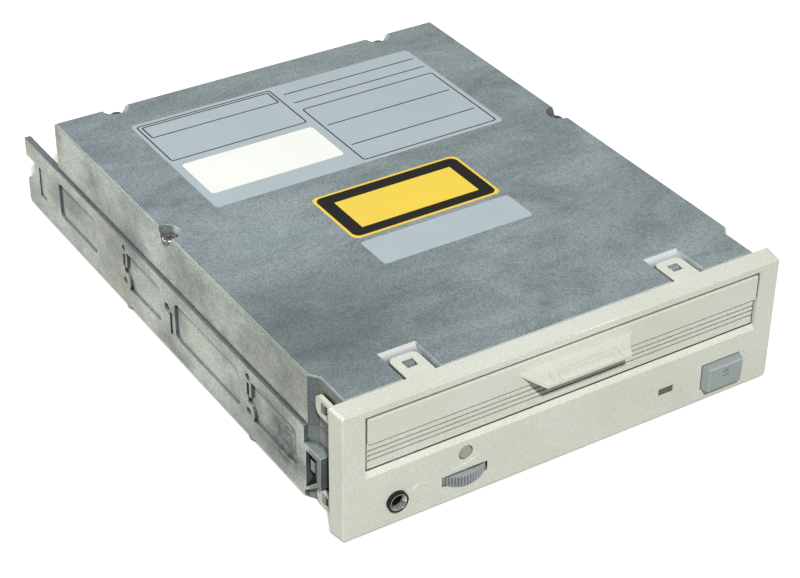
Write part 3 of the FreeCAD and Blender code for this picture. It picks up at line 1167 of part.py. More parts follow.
def top_cover():
    """Cast lid: open below and in front, with screw scoops and recesses for the bezel's tabs."""
    shell = prism_z(cover_plan(0, CASE_FRONT), (SEAM_Z, ROOF_Z))
    shell = rounded(shell, COVER_EDGE_ROUND, lambda b: b.ZMin > ROOF_Z - MOVE_GAP)
    hollow = prism_z(cover_plan(-COVER_WALL, CASE_FRONT - CUT_OVER), (SEAM_Z - CUT_OVER, ROOF_Z - COVER_ROOF))
    shell = shell.cut(hollow)
    inside = prism_z(cover_plan(0, CASE_FRONT), (SEAM_Z, ROOF_Z))
    bosses = []
    scoops = []
    for (x, y), step in scoop_places():
        screw = (x + step[0], y + step[1])
        boss = joined(scoop_cone((x, y), screw, ROOF_Z - COVER_ROOF / 2, SCOOP_WALL),
                      post(*screw, (SEAM_Z, SCOOP_FLOOR), SCOOP_FLOOR_RADIUS + SCOOP_WALL))
        bosses.append(boss.common(inside))
        scoops.append(scoop_cone((x, y), screw, ROOF_Z, 0))
        scoops.append(post(x, y, (ROOF_Z, ROOF_Z + CUT_OVER), SCOOP_RADIUS))
        scoops.append(post(*screw, (SEAM_Z - CUT_OVER, SCOOP_FLOOR + CUT_OVER), SCREW_HOLE_RADIUS))
    beds = [recess_bed(middle) for middle in TOP_TAB_X]
    shell = joined(shell, *bosses, *beds).cut(scoops + [tab_recess(middle) for middle in TOP_TAB_X])
    hooks = [top_hook(middle) for middle in TOP_TAB_X]
    wall_hook = side_hook(SIDE_TAB_SPANS[1])
    return joined(shell, *hooks, wall_hook, mirrored(wall_hook))


def cover_screws():
    screws = []
    for (x, y), step in scoop_places():
        place = (x + step[0], y + step[1])
        head = post(*place, (SCOOP_FLOOR, SCOOP_FLOOR + SCREW_HEAD_HEIGHT), SCREW_HEAD_RADIUS)
        head = rounded(head, SCREW_HEAD_HEIGHT / 3, lambda b: b.ZMin > SCOOP_FLOOR + SCREW_HEAD_HEIGHT / 2)
        shank = post(*place, (SCOOP_FLOOR - COVER_SCREW_LENGTH, SCOOP_FLOOR), SCREW_SHANK_RADIUS)
        screws.append(joined(head, shank))
    return screws


# Main board and rear sockets

def main_board():
    board = block((-BOARD_HALF, BOARD_HALF), (BOARD_FRONT, BOARD_REAR), (BOARD_Z, BOARD_TOP))
    tail = block((-BOARD_TAIL_HALF, BOARD_TAIL_HALF), (BOARD_TAIL_FRONT, BOARD_REAR), (BOARD_Z, BOARD_TOP))
    holes = [post(x, y, (BOARD_Z - CUT_OVER, BOARD_TOP + CUT_OVER), SCREW_HOLE_RADIUS)
             for x in (-BOARD_POST_X, BOARD_POST_X) for y in BOARD_POST_Y]
    return joined(board, tail).cut(holes)


def board_screws():
    screws = []
    for x in (-BOARD_POST_X, BOARD_POST_X):
        for y in BOARD_POST_Y:
            head = post(x, y, (BOARD_TOP, BOARD_TOP + CHIP_HEIGHT), SCREW_HEAD_RADIUS)
            screws.append(joined(head, post(x, y, (LEDGE_TOP, BOARD_TOP), SCREW_SHANK_RADIUS)))
    return screws


def board_chips():
    chips = []
    for (wide, deep), (x, y) in zip(CHIP_SIZES, CHIP_PLACES):
        chips.append(block((x - wide / 2, x + wide / 2), (y - deep / 2, y + deep / 2),
                           (BOARD_TOP, BOARD_TOP + CHIP_HEIGHT)))
    return chips


def open_socket(x, width, height, depth, base):
    """Shroud on the board, open to the rear, with the given depth of its base."""
    half = width / 2
    shroud = block((x - half, x + half), (SOCKET_REAR - depth, SOCKET_REAR), (BOARD_TOP, BOARD_TOP + height))
    cavity = block((x - half + SOCKET_WALL, x + half - SOCKET_WALL),
                   (SOCKET_REAR - depth + base, SOCKET_REAR + CUT_OVER),
                   (BOARD_TOP + SOCKET_WALL, BOARD_TOP + height - SOCKET_WALL))
    return shroud.cut(cavity)


def interface_socket():
    shroud = open_socket(INTERFACE_X, INTERFACE_WIDTH, INTERFACE_HEIGHT, INTERFACE_DEPTH, INTERFACE_BASE)
    top = BOARD_TOP + INTERFACE_HEIGHT
    key = block((INTERFACE_X - KEY_WIDTH / 2, INTERFACE_X + KEY_WIDTH / 2),
                (SOCKET_REAR - INTERFACE_DEPTH + INTERFACE_BASE, SOCKET_REAR + CUT_OVER),
                (top - 2 * SOCKET_WALL, top + CUT_OVER))
    return shroud.cut(key)


def pin_grid(x, z_rows, columns, front, rear):
    """Square pins along Y in rows of the given number of columns about x."""
    pins = []
    side = PIN_SIDE / 2
    for column in range(columns):
        middle = x + (column - (columns - 1) / 2) * PIN_PITCH
        for z in z_rows:
            pins.append(block((middle - side, middle + side), (front, rear), (z - side, z + side)))
    return pins


def interface_pins():
    middle = BOARD_TOP + INTERFACE_HEIGHT / 2
    rows = (middle - PIN_PITCH / 2, middle + PIN_PITCH / 2)
    front = SOCKET_REAR - INTERFACE_DEPTH + INTERFACE_BASE
    return pin_grid(INTERFACE_X, rows, PIN_COLUMNS, front, SOCKET_REAR - PIN_SHORT)


def power_socket():
    """Four-way power shroud with two cut corners."""
    def outline(inset):
        half = POWER_WIDTH / 2 - inset
        low, high = BOARD_TOP + inset, BOARD_TOP + POWER_HEIGHT - inset
        cut = POWER_CORNER - inset / 2
        return [(POWER_X - half, low), (POWER_X + half, low), (POWER_X + half, high - cut),
                (POWER_X + half - cut, high), (POWER_X - half + cut, high), (POWER_X - half, high - cut)]
    shroud = prism_y(outline(0), (SOCKET_REAR - POWER_DEPTH, SOCKET_REAR))
    mouth = (SOCKET_REAR - POWER_DEPTH + POWER_BASE, SOCKET_REAR + CUT_OVER)
    return shroud.cut(prism_y(outline(SOCKET_WALL), mouth))


def power_pins():
    pins = []
    z = BOARD_TOP + POWER_HEIGHT / 2
    for number in range(POWER_PINS):
        x = POWER_X + (number - (POWER_PINS - 1) / 2) * POWER_PIN_PITCH
        span = (SOCKET_REAR - POWER_DEPTH + POWER_BASE, SOCKET_REAR - PIN_SHORT)
        pins.append(bar_y(x, z, span, POWER_PIN_RADIUS))
    return pins


def audio_socket():
    return open_socket(AUDIO_X, AUDIO_WIDTH, AUDIO_HEIGHT, AUDIO_DEPTH, INTERFACE_BASE)


def audio_pins():
    front = SOCKET_REAR - AUDIO_DEPTH + INTERFACE_BASE
    return pin_grid(AUDIO_X, (BOARD_TOP + AUDIO_HEIGHT / 2,), POWER_PINS, front, SOCKET_REAR - PIN_SHORT)


def jumper_block():
    """Base strip with two rows of pins to the rear."""
    half = JUMPER_WIDTH / 2
    rear = SOCKET_REAR - JUMPER_PIN_LENGTH
    top = BOARD_TOP + 2 * PIN_PITCH
    base = block((JUMPER_X - half, JUMPER_X + half), (rear - JUMPER_BASE, rear), (BOARD_TOP, top))
    rows = (BOARD_TOP + PIN_PITCH / 2, top - PIN_PITCH / 2)
    return joined(base, *pin_grid(JUMPER_X, rows, JUMPER_COLUMNS, rear - JUMPER_BASE / 2, SOCKET_REAR - PIN_SIDE))


# Mechanism deck, spindle and pickup

def deck_wall(place):
    """Right upright of the deck with the slot that guides a holder pin."""
    near, far = place - DECK_WALL_LENGTH / 2, place + DECK_WALL_LENGTH / 2
    foot = block((DECK_HALF - DECK_SHEET, DECK_WALL_OUTER), (near, far), (DECK_Z, DECK_TOP))
    wall_top = PIN_Z + SLOT_RADIUS + DECK_WALL_HEADROOM
    wall = block((DECK_WALL_INNER, DECK_WALL_OUTER), (near, far), (DECK_Z, wall_top))
    across = (DECK_WALL_INNER - CUT_OVER, DECK_WALL_OUTER + CUT_OVER)
    low = PIN_Z - HOLDER_DROP
    slot = joined(bar_x(place, low, across, SLOT_RADIUS), bar_x(place, PIN_Z, across, SLOT_RADIUS),
                  block(across, (place - SLOT_RADIUS, place + SLOT_RADIUS), (low, PIN_Z)))
    return joined(foot, wall).cut(slot)


def rod_blocks():
    """Blocks under the deck that hold the guide rods and the front end of the lead screw."""
    blocks = []
    fronts = (WINDOW_FRONT - ROD_BLOCK, WINDOW_REAR)
    half = ROD_BLOCK_WIDTH / 2
    for front in fronts:
        for x in (-ROD_X, ROD_X):
            holder = block((x - half, x + half), (front, front + ROD_BLOCK), (ROD_BLOCK_BOTTOM, DECK_Z))
            blocks.append(holder.cut(bar_y(x, ROD_Z, (front - CUT_OVER, front + ROD_BLOCK + CUT_OVER),
                                           ROD_RADIUS + SEAT_GAP)))
    front = SCREW_FRONT - ROD_BLOCK
    bearing = block((SCREW_X - half, SCREW_X + half), (front, SCREW_FRONT), (ROD_BLOCK_BOTTOM, DECK_Z))
    socket = bar_y(SCREW_X, ROD_Z, (front + CUT_OVER, SCREW_FRONT + CUT_OVER), SCREW_RADIUS + RUN_GAP)
    blocks.append(bearing.cut(socket))
    return blocks


def mech_deck():
    """Pressed deck with uprights for the holder's pins and blocks for the pickup's rods."""
    plate = block((-DECK_HALF, DECK_HALF), (DECK_FRONT, DECK_REAR), (DECK_Z, DECK_TOP))
    through = (DECK_Z - CUT_OVER, DECK_TOP + CUT_OVER)
    tools = [block((-DECK_WINDOW_HALF, DECK_WINDOW_HALF), (WINDOW_FRONT, WINDOW_REAR), through),
             post(0, SPINDLE_Y, through, SPINDLE_RADIUS + 2 * MOVE_GAP),
             post(LOADING_MOTOR_X, RACK_GEAR_Y, through, LOADING_MOTOR_RADIUS + SEAT_GAP)]
    tools += [post(x, y, through, DAMPER_NECK_RADIUS + SEAT_GAP) for x in (-DAMPER_X, DAMPER_X) for y in DAMPER_Y]
    room = SLED_MOTOR_RADIUS + MOVE_GAP
    motor_rear = SCREW_REAR + SLED_MOTOR_LENGTH
    tools.append(block((SCREW_X - room, SCREW_X + room), (SCREW_REAR - MOVE_GAP, motor_rear + MOVE_GAP),
                       through))
    tools += [post(x, RACK_GEAR_Y, through, AXLE_RADIUS + SEAT_GAP) for x in (RACK_GEAR_X, PULLEY_X)]
    walls = []
    for place in PIN_PLACES:
        walls += [deck_wall(place), mirrored(deck_wall(place))]
    return joined(plate.cut(tools), *walls, *rod_blocks())


def deck_dampers():
    dampers = []
    low = DECK_Z - DAMPER_FOOT
    for x in (-DAMPER_X, DAMPER_X):
        for y in DAMPER_Y:
            foot = post(x, y, (low, DECK_Z), DAMPER_RADIUS)
            neck = post(x, y, (DECK_Z, DECK_TOP), DAMPER_NECK_RADIUS)
            cap = post(x, y, (DECK_TOP, DECK_TOP + DAMPER_CAP), DAMPER_RADIUS)
            bore = post(x, y, (low - CUT_OVER, DECK_TOP + DAMPER_CAP + CUT_OVER), DAMPER_BORE)
            dampers.append(joined(foot, neck, cap).cut(bore))
    return dampers


def damper_screws():
    screws = []
    seat = DECK_TOP + DAMPER_CAP
    for x in (-DAMPER_X, DAMPER_X):
        for y in DAMPER_Y:
            head = post(x, y, (seat, seat + DAMPER_HEAD_HEIGHT), DAMPER_HEAD_RADIUS)
            screws.append(joined(head, post(x, y, (seat - DAMPER_SCREW_LENGTH, seat), SCREW_SHANK_RADIUS)))
    return screws


def spindle_motor():
    can = post(0, SPINDLE_Y, (DECK_Z - MOTOR_HEIGHT, DECK_Z), MOTOR_RADIUS)
    can = rounded(can, CUT_OVER, lambda b: b.ZMax < DECK_Z - MOTOR_HEIGHT / 2)
    bore = (DECK_Z - MOTOR_HEIGHT + SPINDLE_FOOT - MOVE_GAP, DECK_Z + CUT_OVER)
    return can.cut(post(0, SPINDLE_Y, bore, SPINDLE_RADIUS + RUN_GAP))


def turntable():
    """Spindle shaft, skirt, disc seat and centring cone in one turned piece, hollow for the magnet."""
    foot = DECK_Z - MOTOR_HEIGHT + SPINDLE_FOOT
    skirt_low = DECK_TOP + TABLE_SKIRT_GAP
    rim_low = TABLE_TOP - TABLE_RIM_THICK
    cone_top = TABLE_TOP + CONE_HEIGHT
    profile = [(0, foot), (SPINDLE_RADIUS, foot), (SPINDLE_RADIUS, skirt_low), (TABLE_SKIRT_RADIUS, skirt_low),
               (TABLE_SKIRT_RADIUS, rim_low), (TABLE_RADIUS, rim_low), (TABLE_RADIUS, TABLE_TOP),
               (CONE_RADIUS, TABLE_TOP), (CONE_TOP_RADIUS, cone_top), (MAGNET_RADIUS, cone_top),
               (MAGNET_RADIUS, cone_top - MAGNET_DEPTH), (0, cone_top - MAGNET_DEPTH)]
    points = [V(r, SPINDLE_Y, z) for r, z in profile + profile[:1]]
    return Part.Face(Part.makePolygon(points)).revolve(V(0, SPINDLE_Y, 0), V(0, 0, 1), 360)


def turntable_magnet():
    low = TABLE_TOP + CONE_HEIGHT - MAGNET_DEPTH
    return post(0, SPINDLE_Y, (low, low + MAGNET_DEPTH - MOVE_GAP), MAGNET_RADIUS - SEAT_GAP)


def guide_rods():
    span = (WINDOW_FRONT - ROD_BLOCK, WINDOW_REAR + ROD_BLOCK)
    return [bar_y(x, ROD_Z, span, ROD_RADIUS) for x in (-ROD_X, ROD_X)]


def pickup_sled():
    """Cast sled with bushes on both rods, an arm with the nut, and the lens turret."""
    body = block((-SLED_HALF, SLED_HALF), (SLED_FRONT, SLED_REAR), (SLED_BOTTOM, SLED_TOP))
    body = bevelled(body, SLED_LENGTH / 6, is_upright)
    pieces = []
    nut_front = (SLED_FRONT + SLED_REAR - NUT_LENGTH) / 2
    for front in (SLED_FRONT, SLED_REAR - BUSH_LENGTH):
        span = (front, front + BUSH_LENGTH)
        pieces.append(bar_y(-ROD_X, ROD_Z, span, BUSH_RADIUS))
        pieces.append(block((-ROD_X, -SLED_HALF + SLED_LENGTH / 4), span, (ROD_Z - CUT_OVER, ROD_Z + CUT_OVER)))
    nut_span = (nut_front, nut_front + NUT_LENGTH)
    for x, radius in ((ROD_X, BUSH_RADIUS), (SCREW_X, NUT_RADIUS)):
        pieces.append(bar_y(x, ROD_Z, nut_span, radius))
    pieces.append(block((SLED_HALF - CUT_OVER, ROD_X), nut_span, (ROD_Z - CUT_OVER, ROD_Z + CUT_OVER)))
    pieces.append(block((SCREW_X, -SLED_HALF + CUT_OVER), nut_span, (ROD_Z + ROD_RADIUS + RUN_GAP, SLED_TOP)))
    lens_y = SLED_FRONT + LENS_BEHIND
    pieces.append(post(0, lens_y, (SLED_TOP - CUT_OVER, TURRET_TOP), TURRET_RADIUS))
    long = (SLED_FRONT - CUT_OVER, SLED_REAR + CUT_OVER)
    tools = [bar_y(x, ROD_Z, long, ROD_RADIUS + RUN_GAP) for x in (-ROD_X, ROD_X)]
    tools.append(bar_y(SCREW_X, ROD_Z, long, SCREW_RADIUS + RUN_GAP))
    tools.append(post(0, lens_y, (SLED_TOP, TURRET_TOP + CUT_OVER), LENS_RADIUS))
    return joined(body, *pieces).cut(tools)


def objective_lens():
    lens_y = SLED_FRONT + LENS_BEHIND
    barrel = post(0, lens_y, (SLED_TOP, TURRET_TOP), LENS_RADIUS - SEAT_GAP)
    ball = (LENS_RADIUS ** 2 + LENS_CROWN ** 2) / (2 * LENS_CROWN)
    crown = Part.makeSphere(ball, V(0, lens_y, TURRET_TOP + LENS_CROWN - ball))
    room = post(0, lens_y, (TURRET_TOP - LENS_CROWN, TURRET_TOP + 2 * LENS_CROWN), LENS_RADIUS - SEAT_GAP)
    return joined(barrel, crown.common(room))


def lead_screw():
    front = SCREW_FRONT - ROD_BLOCK + CUT_OVER + MOVE_GAP
    return bar_y(SCREW_X, ROD_Z, (front, SCREW_REAR + SPINDLE_FOOT), SCREW_RADIUS)


def sled_motor():
    can = bar_y(SCREW_X, ROD_Z, (SCREW_REAR, SCREW_REAR + SLED_MOTOR_LENGTH), SLED_MOTOR_RADIUS)
    socket = (SCREW_REAR - CUT_OVER, SCREW_REAR + SPINDLE_FOOT + MOVE_GAP)
    return can.cut(bar_y(SCREW_X, ROD_Z, socket, SCREW_RADIUS + RUN_GAP))


# Caddy holder, cam slide and loading gears

def caddy_holder():
    """Folded sheet sleeve: roof with a window, side walls, floor lips and two rear stops."""
    top = HOLDER_TOP
    outer = HOLDER_HALF + HOLDER_SHEET
    length = (HOLDER_FRONT, HOLDER_REAR)
    sleeve = block((-outer, outer), length, (HOLDER_FLOOR, top))
    sleeve = sleeve.cut(block((-HOLDER_HALF, HOLDER_HALF), (HOLDER_FRONT - CUT_OVER, HOLDER_REAR + CUT_OVER),
                              (HOLDER_FLOOR + HOLDER_SHEET, top - HOLDER_SHEET)))
    gap = HOLDER_HALF - HOLDER_LIP
    tools = [block((-gap, gap), (HOLDER_FRONT - CUT_OVER, HOLDER_REAR + CUT_OVER),
                   (HOLDER_FLOOR - CUT_OVER, HOLDER_FLOOR + HOLDER_SHEET + CUT_OVER))]
    margin = HOLDER_WINDOW_MARGIN
    tools.append(block((-outer + margin, outer - margin), (HOLDER_FRONT + margin, HOLDER_REAR - margin),
                       (top - HOLDER_SHEET - CUT_OVER, top + CUT_OVER)))
    across = (-outer - CUT_OVER, outer + CUT_OVER)
    tools += [bar_x(place, PIN_Z, across, PIN_TAIL_RADIUS + SEAT_GAP) for place in PIN_PLACES]
    stops = []
    for x in (-gap, gap - HOLDER_STOP_WIDTH):
        stops.append(block((x, x + HOLDER_STOP_WIDTH), (HOLDER_REAR - HOLDER_SHEET, HOLDER_REAR),
                           (HOLDER_FLOOR + HOLDER_INSIDE / 2, top)))
    return joined(sleeve.cut(tools), *stops)


def holder_pins():
    pins = []
    outer = HOLDER_HALF + HOLDER_SHEET
    for place in PIN_PLACES:
        pin = joined(bar_x(place, PIN_Z, (HOLDER_HALF, outer), PIN_TAIL_RADIUS),
                     bar_x(place, PIN_Z, (outer, DECK_WALL_OUTER + PIN_END), PIN_RADIUS))
        pins += [pin, mirrored(pin)]
    return pins


def cam_slot(place):
    """Cutting tool of the sloping slot that a holder pin runs in."""
    across = (SLIDE_INNER - CUT_OVER, SLIDE_OUTER + CUT_OVER)
    low_y, low_z = place + SLIDE_TRAVEL, PIN_Z - HOLDER_DROP
    length = math.hypot(SLIDE_TRAVEL, HOLDER_DROP)
    off_y, off_z = SLOT_RADIUS * HOLDER_DROP / length, SLOT_RADIUS * SLIDE_TRAVEL / length
    band = [(place - off_y, PIN_Z - off_z), (low_y - off_y, low_z - off_z), (low_y + off_y, low_z + off_z),
            (place + off_y, PIN_Z + off_z)]
    return joined(prism_x(band, across), bar_x(place, PIN_Z, across, SLOT_RADIUS),
                  bar_x(low_y, low_z, across, SLOT_RADIUS))


def slide_plate():
    """Right cam plate: a long strip with two raised cams."""
    sheet = (SLIDE_INNER, SLIDE_OUTER)
    plate = block(sheet, (SLIDE_FRONT, SLIDE_REAR), (SLIDE_BASE, SLIDE_BASE + SLIDE_STRIP))
    reach = SLOT_RADIUS + SLIDE_CAM_MARGIN
    for place in PIN_PLACES:
        cam = block(sheet, (place - reach, place + SLIDE_TRAVEL + reach), (SLIDE_BASE, PIN_Z + reach))
        plate = joined(plate, rounded(cam, SLIDE_CAM_MARGIN, lambda b: b.ZMin > PIN_Z and b.YLength < CUT_OVER))
    return plate.cut([cam_slot(place) for place in PIN_PLACES])


def rack():
    """Toothed strip on the crossbar, facing the rack pinion."""
    pitch = math.pi * TOOTH_MODULE
    line_x = RACK_GEAR_X - RACK_PITCH_RADIUS
    root_x = line_x - 1.1 * TOOTH_MODULE
    tip_x = line_x + 0.8 * TOOTH_MODULE
    half_tip, half_root = 0.26 * 0.42 * pitch, 0.55 * 0.42 * pitch
    height = (SLIDE_BASE, RACK_TOP)
    last = RACK_GEAR_Y + (RACK_TEETH - 1) * pitch
    back = (root_x - RACK_BACK, root_x)
    strip = [block(back, (SLIDE_REAR - CROSSBAR_WIDTH, last + pitch / 2), height),
             block(back, (SLIDE_REAR - CROSSBAR_WIDTH, SLIDE_REAR), (SLIDE_BASE, BRIDGE_TOP))]
    for number in range(-1, RACK_TEETH):
        y = RACK_GEAR_Y + number * pitch
        strip.append(prism_z([(root_x, y - half_root), (tip_x, y - half_tip), (tip_x, y + half_tip),
                              (root_x, y + half_root)], height))
    return joined(*strip)


def crossbar():
    """Bar between the two cam plates, raised in the middle over the pickup."""
    riser = BRIDGE_HALF + CROSSBAR_THICK
    section = [(SLIDE_OUTER, SLIDE_BASE), (SLIDE_OUTER, SLIDE_BASE + CROSSBAR_THICK),
               (riser, SLIDE_BASE + CROSSBAR_THICK), (riser, BRIDGE_TOP)]
    under = [(BRIDGE_HALF, BRIDGE_BOTTOM), (BRIDGE_HALF, SLIDE_BASE)]
    outline = section + [(-x, z) for x, z in reversed(section)] + [(-x, z) for x, z in reversed(under)] + under
    return prism_y(outline, (SLIDE_REAR - CROSSBAR_WIDTH, SLIDE_REAR))


def cam_slide():
    return joined(slide_plate(), mirrored(slide_plate()), crossbar(), rack())


def placed(shape, x, y):
    """Copy of a shape that was made about the Z axis, moved to x, y."""
    return shape.translated(V(x, y, 0))


def rack_gear():
    """Pinion in the rack with the larger wheel above it."""
    gap_turn = 180.0 / RACK_PINION_TEETH
    pinion = spur(RACK_PINION_TEETH, (GEAR_BOTTOM, WHEEL_GEAR_BOTTOM), 180 + gap_turn)
    wheel = spur(RACK_WHEEL_TEETH, (WHEEL_GEAR_BOTTOM, WHEEL_GEAR_TOP), 0)
    gear = joined(pinion, wheel)
    gear = gear.cut(post(0, 0, (GEAR_BOTTOM - CUT_OVER, WHEEL_GEAR_TOP + CUT_OVER), AXLE_RADIUS + RUN_GAP))
    return placed(gear, RACK_GEAR_X, RACK_GEAR_Y)


def grooved_pulley(radius):
    """Pulley with two cheeks about the Z axis."""
    low, high = PULLEY_BOTTOM, PULLEY_TOP
    pulley = post(0, 0, (low, high), radius)
    cheeks = [post(0, 0, span, radius + PULLEY_FLANGE)
              for span in ((low, low + PULLEY_CHEEK), (high - PULLEY_CHEEK, high))]
    return joined(pulley, *cheeks)


def pulley_gear():
    """Belt pulley with the pinion that turns the larger wheel."""
    gap_turn = 180.0 / PULLEY_PINION_TEETH
    pinion = spur(PULLEY_PINION_TEETH, (WHEEL_GEAR_BOTTOM, PULLEY_BOTTOM), 180 + gap_turn)
    gear = joined(pinion, grooved_pulley(PULLEY_RADIUS))
    gear = gear.cut(post(0, 0, (WHEEL_GEAR_BOTTOM - CUT_OVER, PULLEY_TOP + CUT_OVER), AXLE_RADIUS + RUN_GAP))
    return placed(gear, PULLEY_X, RACK_GEAR_Y)


def gear_axles():
    """Stub axles on the deck, each with a shoulder that carries its gear."""
    axles = []
    for x, low, high in ((RACK_GEAR_X, GEAR_BOTTOM, WHEEL_GEAR_TOP), (PULLEY_X, WHEEL_GEAR_BOTTOM, PULLEY_TOP)):
        shoulder = post(x, RACK_GEAR_Y, (DECK_TOP, low - RUN_GAP), 2 * AXLE_RADIUS)
        axles.append(joined(post(x, RACK_GEAR_Y, (DECK_Z, high + AXLE_CAP), AXLE_RADIUS), shoulder))
    return axles


def motor_pulley():
    pulley = grooved_pulley(MOTOR_PULLEY_RADIUS)
    bore = post(0, 0, (PULLEY_BOTTOM - CUT_OVER, PULLEY_TOP + CUT_OVER), MOTOR_SHAFT_RADIUS + RUN_GAP)
    return placed(pulley.cut(bore), LOADING_MOTOR_X, RACK_GEAR_Y)


def loading_motor():
    """Upright motor through the deck, on a plate, with its shaft."""
    top = PULLEY_BOTTOM - MOVE_GAP
    place = (LOADING_MOTOR_X, RACK_GEAR_Y)
    can = post(*place, (DECK_Z - LOADING_MOTOR_BELOW, top), LOADING_MOTOR_RADIUS)
    plate = post(*place, (DECK_TOP, DECK_TOP + LOADING_MOTOR_PLATE), LOADING_MOTOR_RADIUS + LOADING_MOTOR_FLANGE)
    return joined(can, plate, post(*place, (top, PULLEY_TOP + AXLE_CAP), MOTOR_SHAFT_RADIUS))


def belt_loop(grow, z):
    """Solid inside the belt's loop, grown outwards by grow."""
    big, small = PULLEY_RADIUS + grow, MOTOR_PULLEY_RADIUS + grow
    lean = math.acos((big - small) / BELT_SPAN)
    cos, sin = math.cos(lean), math.sin(lean)
    y = RACK_GEAR_Y
    ends = [V(PULLEY_X + big * cos, y + big * sin, z[0]), V(PULLEY_X + big * cos, y - big * sin, z[0]),
            V(LOADING_MOTOR_X + small * cos, y - small * sin, z[0]),
            V(LOADING_MOTOR_X + small * cos, y + small * sin, z[0])]
    wrap = Part.Arc(ends[0], V(PULLEY_X - big, y, z[0]), ends[1]).toShape()
    nose = Part.Arc(ends[2], V(LOADING_MOTOR_X + small, y, z[0]), ends[3]).toShape()
    wire = Part.Wire([wrap, Part.makeLine(ends[1], ends[2]), nose, Part.makeLine(ends[3], ends[0])])
    return Part.Face(wire).extrude(V(0, 0, z[1] - z[0]))


def drive_belt():
    low = PULLEY_BOTTOM + PULLEY_CHEEK + MOVE_GAP
    high = PULLEY_TOP - PULLEY_CHEEK - MOVE_GAP
    inner = belt_loop(RUN_GAP, (low - CUT_OVER, high + CUT_OVER))
    return belt_loop(RUN_GAP + BELT_THICK, (low, high)).cut(inner)


PIECES = (
    bezel, caddy_door, door_hinge_rod, door_spring, headphone_jack, jack_ring, volume_wheel, volume_pot,
    access_plug, led_lens, led_lamp, eject_button, eject_switch, switch_plunger, front_board, front_ribbon,
    chassis, ground_spring, bottom_plate, bottom_screws, top_cover, cover_screws, main_board, board_screws,
    board_chips, interface_socket, interface_pins, power_socket, power_pins, audio_socket, audio_pins,
    jumper_block, mech_deck, deck_dampers, damper_screws, spindle_motor, turntable, turntable_magnet,
    guide_rods, pickup_sled, objective_lens, lead_screw, sled_motor, caddy_holder, holder_pins, cam_slide,
    rack_gear, pulley_gear, gear_axles, motor_pulley, loading_motor, drive_belt,
)


def write_pieces():
    """Write one STEP file per piece, moved to the part's frame."""
    os.makedirs("parts", exist_ok=True)
    for piece in PIECES:
        made = piece()
        shape = Part.makeCompound(made) if isinstance(made, list) else made
        shape = shape.translated(FRAME_SHIFT)
        shape.exportStep("parts/" + piece.__name__ + ".step")


write_pieces()
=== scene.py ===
import logging
import math
from contextlib import contextmanager
from dataclasses import dataclass
from enum import Enum
from functools import cached_property
from typing import Callable, Iterator

import bmesh
import bpy
from mathutils import Matrix, Vector


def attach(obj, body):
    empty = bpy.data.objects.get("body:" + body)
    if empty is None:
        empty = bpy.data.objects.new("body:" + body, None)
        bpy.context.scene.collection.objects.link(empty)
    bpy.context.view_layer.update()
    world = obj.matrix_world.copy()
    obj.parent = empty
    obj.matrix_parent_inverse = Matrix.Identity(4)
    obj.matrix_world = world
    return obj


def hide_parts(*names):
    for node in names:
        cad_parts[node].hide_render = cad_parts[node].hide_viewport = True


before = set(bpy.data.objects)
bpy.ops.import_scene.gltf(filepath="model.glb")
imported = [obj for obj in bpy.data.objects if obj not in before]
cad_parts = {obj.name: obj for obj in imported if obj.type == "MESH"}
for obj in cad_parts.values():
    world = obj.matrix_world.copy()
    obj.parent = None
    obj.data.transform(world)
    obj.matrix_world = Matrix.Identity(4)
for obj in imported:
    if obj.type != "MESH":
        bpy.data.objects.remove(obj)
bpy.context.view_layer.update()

# Looks of the caddy-loading drive: finishes of the CAD nodes, bare label plates, moulded marks, screw heads
# and the studio. Sizes are in millimetres in the drawing frame: X to the right seen from the front, Y from
# the bezel's front face to the rear, Z up from the bezel's lower edge.

MM = 0.001
ORIGIN_DEPTH = 100.4    # the part's origin behind the bezel's front face
NEAR = 0.1    # a vertex this close to a plane counts as on it

Pair = tuple[float, float]
Point = tuple[float, float, float]
Outline = tuple[Pair, Pair, float]    # ends across and along, and corner radius
Piece = bpy.types.Object
Node = bpy.types.ShaderNode
Socket = bpy.types.NodeSocket

UP: Point = (0.0, 0.0, 1.0)
UPRIGHT: Point = (math.pi / 2, 0.0, 0.0)    # turn of a flat primitive that has to face the front
BLEND = {"data_type": "RGBA"}    # mix of two colours
PRODUCT = {"data_type": "RGBA", "blend_type": "MULTIPLY"}    # colour times a colour or a level

log = logging.getLogger("drive")


def place(x: float, y: float, z: float) -> Vector:
    """Return a point of the drawing frame, in mm, as a scene point in metres."""
    return Vector((x, y - ORIGIN_DEPTH, z)) * MM


def linear(code: str) -> tuple[float, float, float, float]:
    """Return an sRGB colour given as #rrggbb as linear RGBA."""
    channels = (int(code[i:i + 2], 16) / 255 for i in (1, 3, 5))
    return (*(c / 12.92 if c <= 0.04045 else ((c + 0.055) / 1.055) ** 2.4 for c in channels), 1.0)


def per(size: float) -> float:
    """Return the scale of a pattern whose features are this many mm across."""
    return 1 / (size * MM)


class Kind(Enum):
    """Kinds of nodes that the finishes are made of."""

    AXES = "ShaderNodeSeparateXYZ"
    BEVEL = "ShaderNodeBevel"
    BRICK = "ShaderNodeTexBrick"
    BUMP = "ShaderNodeBump"
    COORDS = "ShaderNodeTexCoord"
    GEOMETRY = "ShaderNodeNewGeometry"
    MAPPING = "ShaderNodeMapping"
    MATH = "ShaderNodeMath"
    MIX = "ShaderNodeMix"
    NOISE = "ShaderNodeTexNoise"
    OCCLUSION = "ShaderNodeAmbientOcclusion"
    RANGE = "ShaderNodeMapRange"
    RAYS = "ShaderNodeLightPath"
    VECTOR = "ShaderNodeVectorMath"


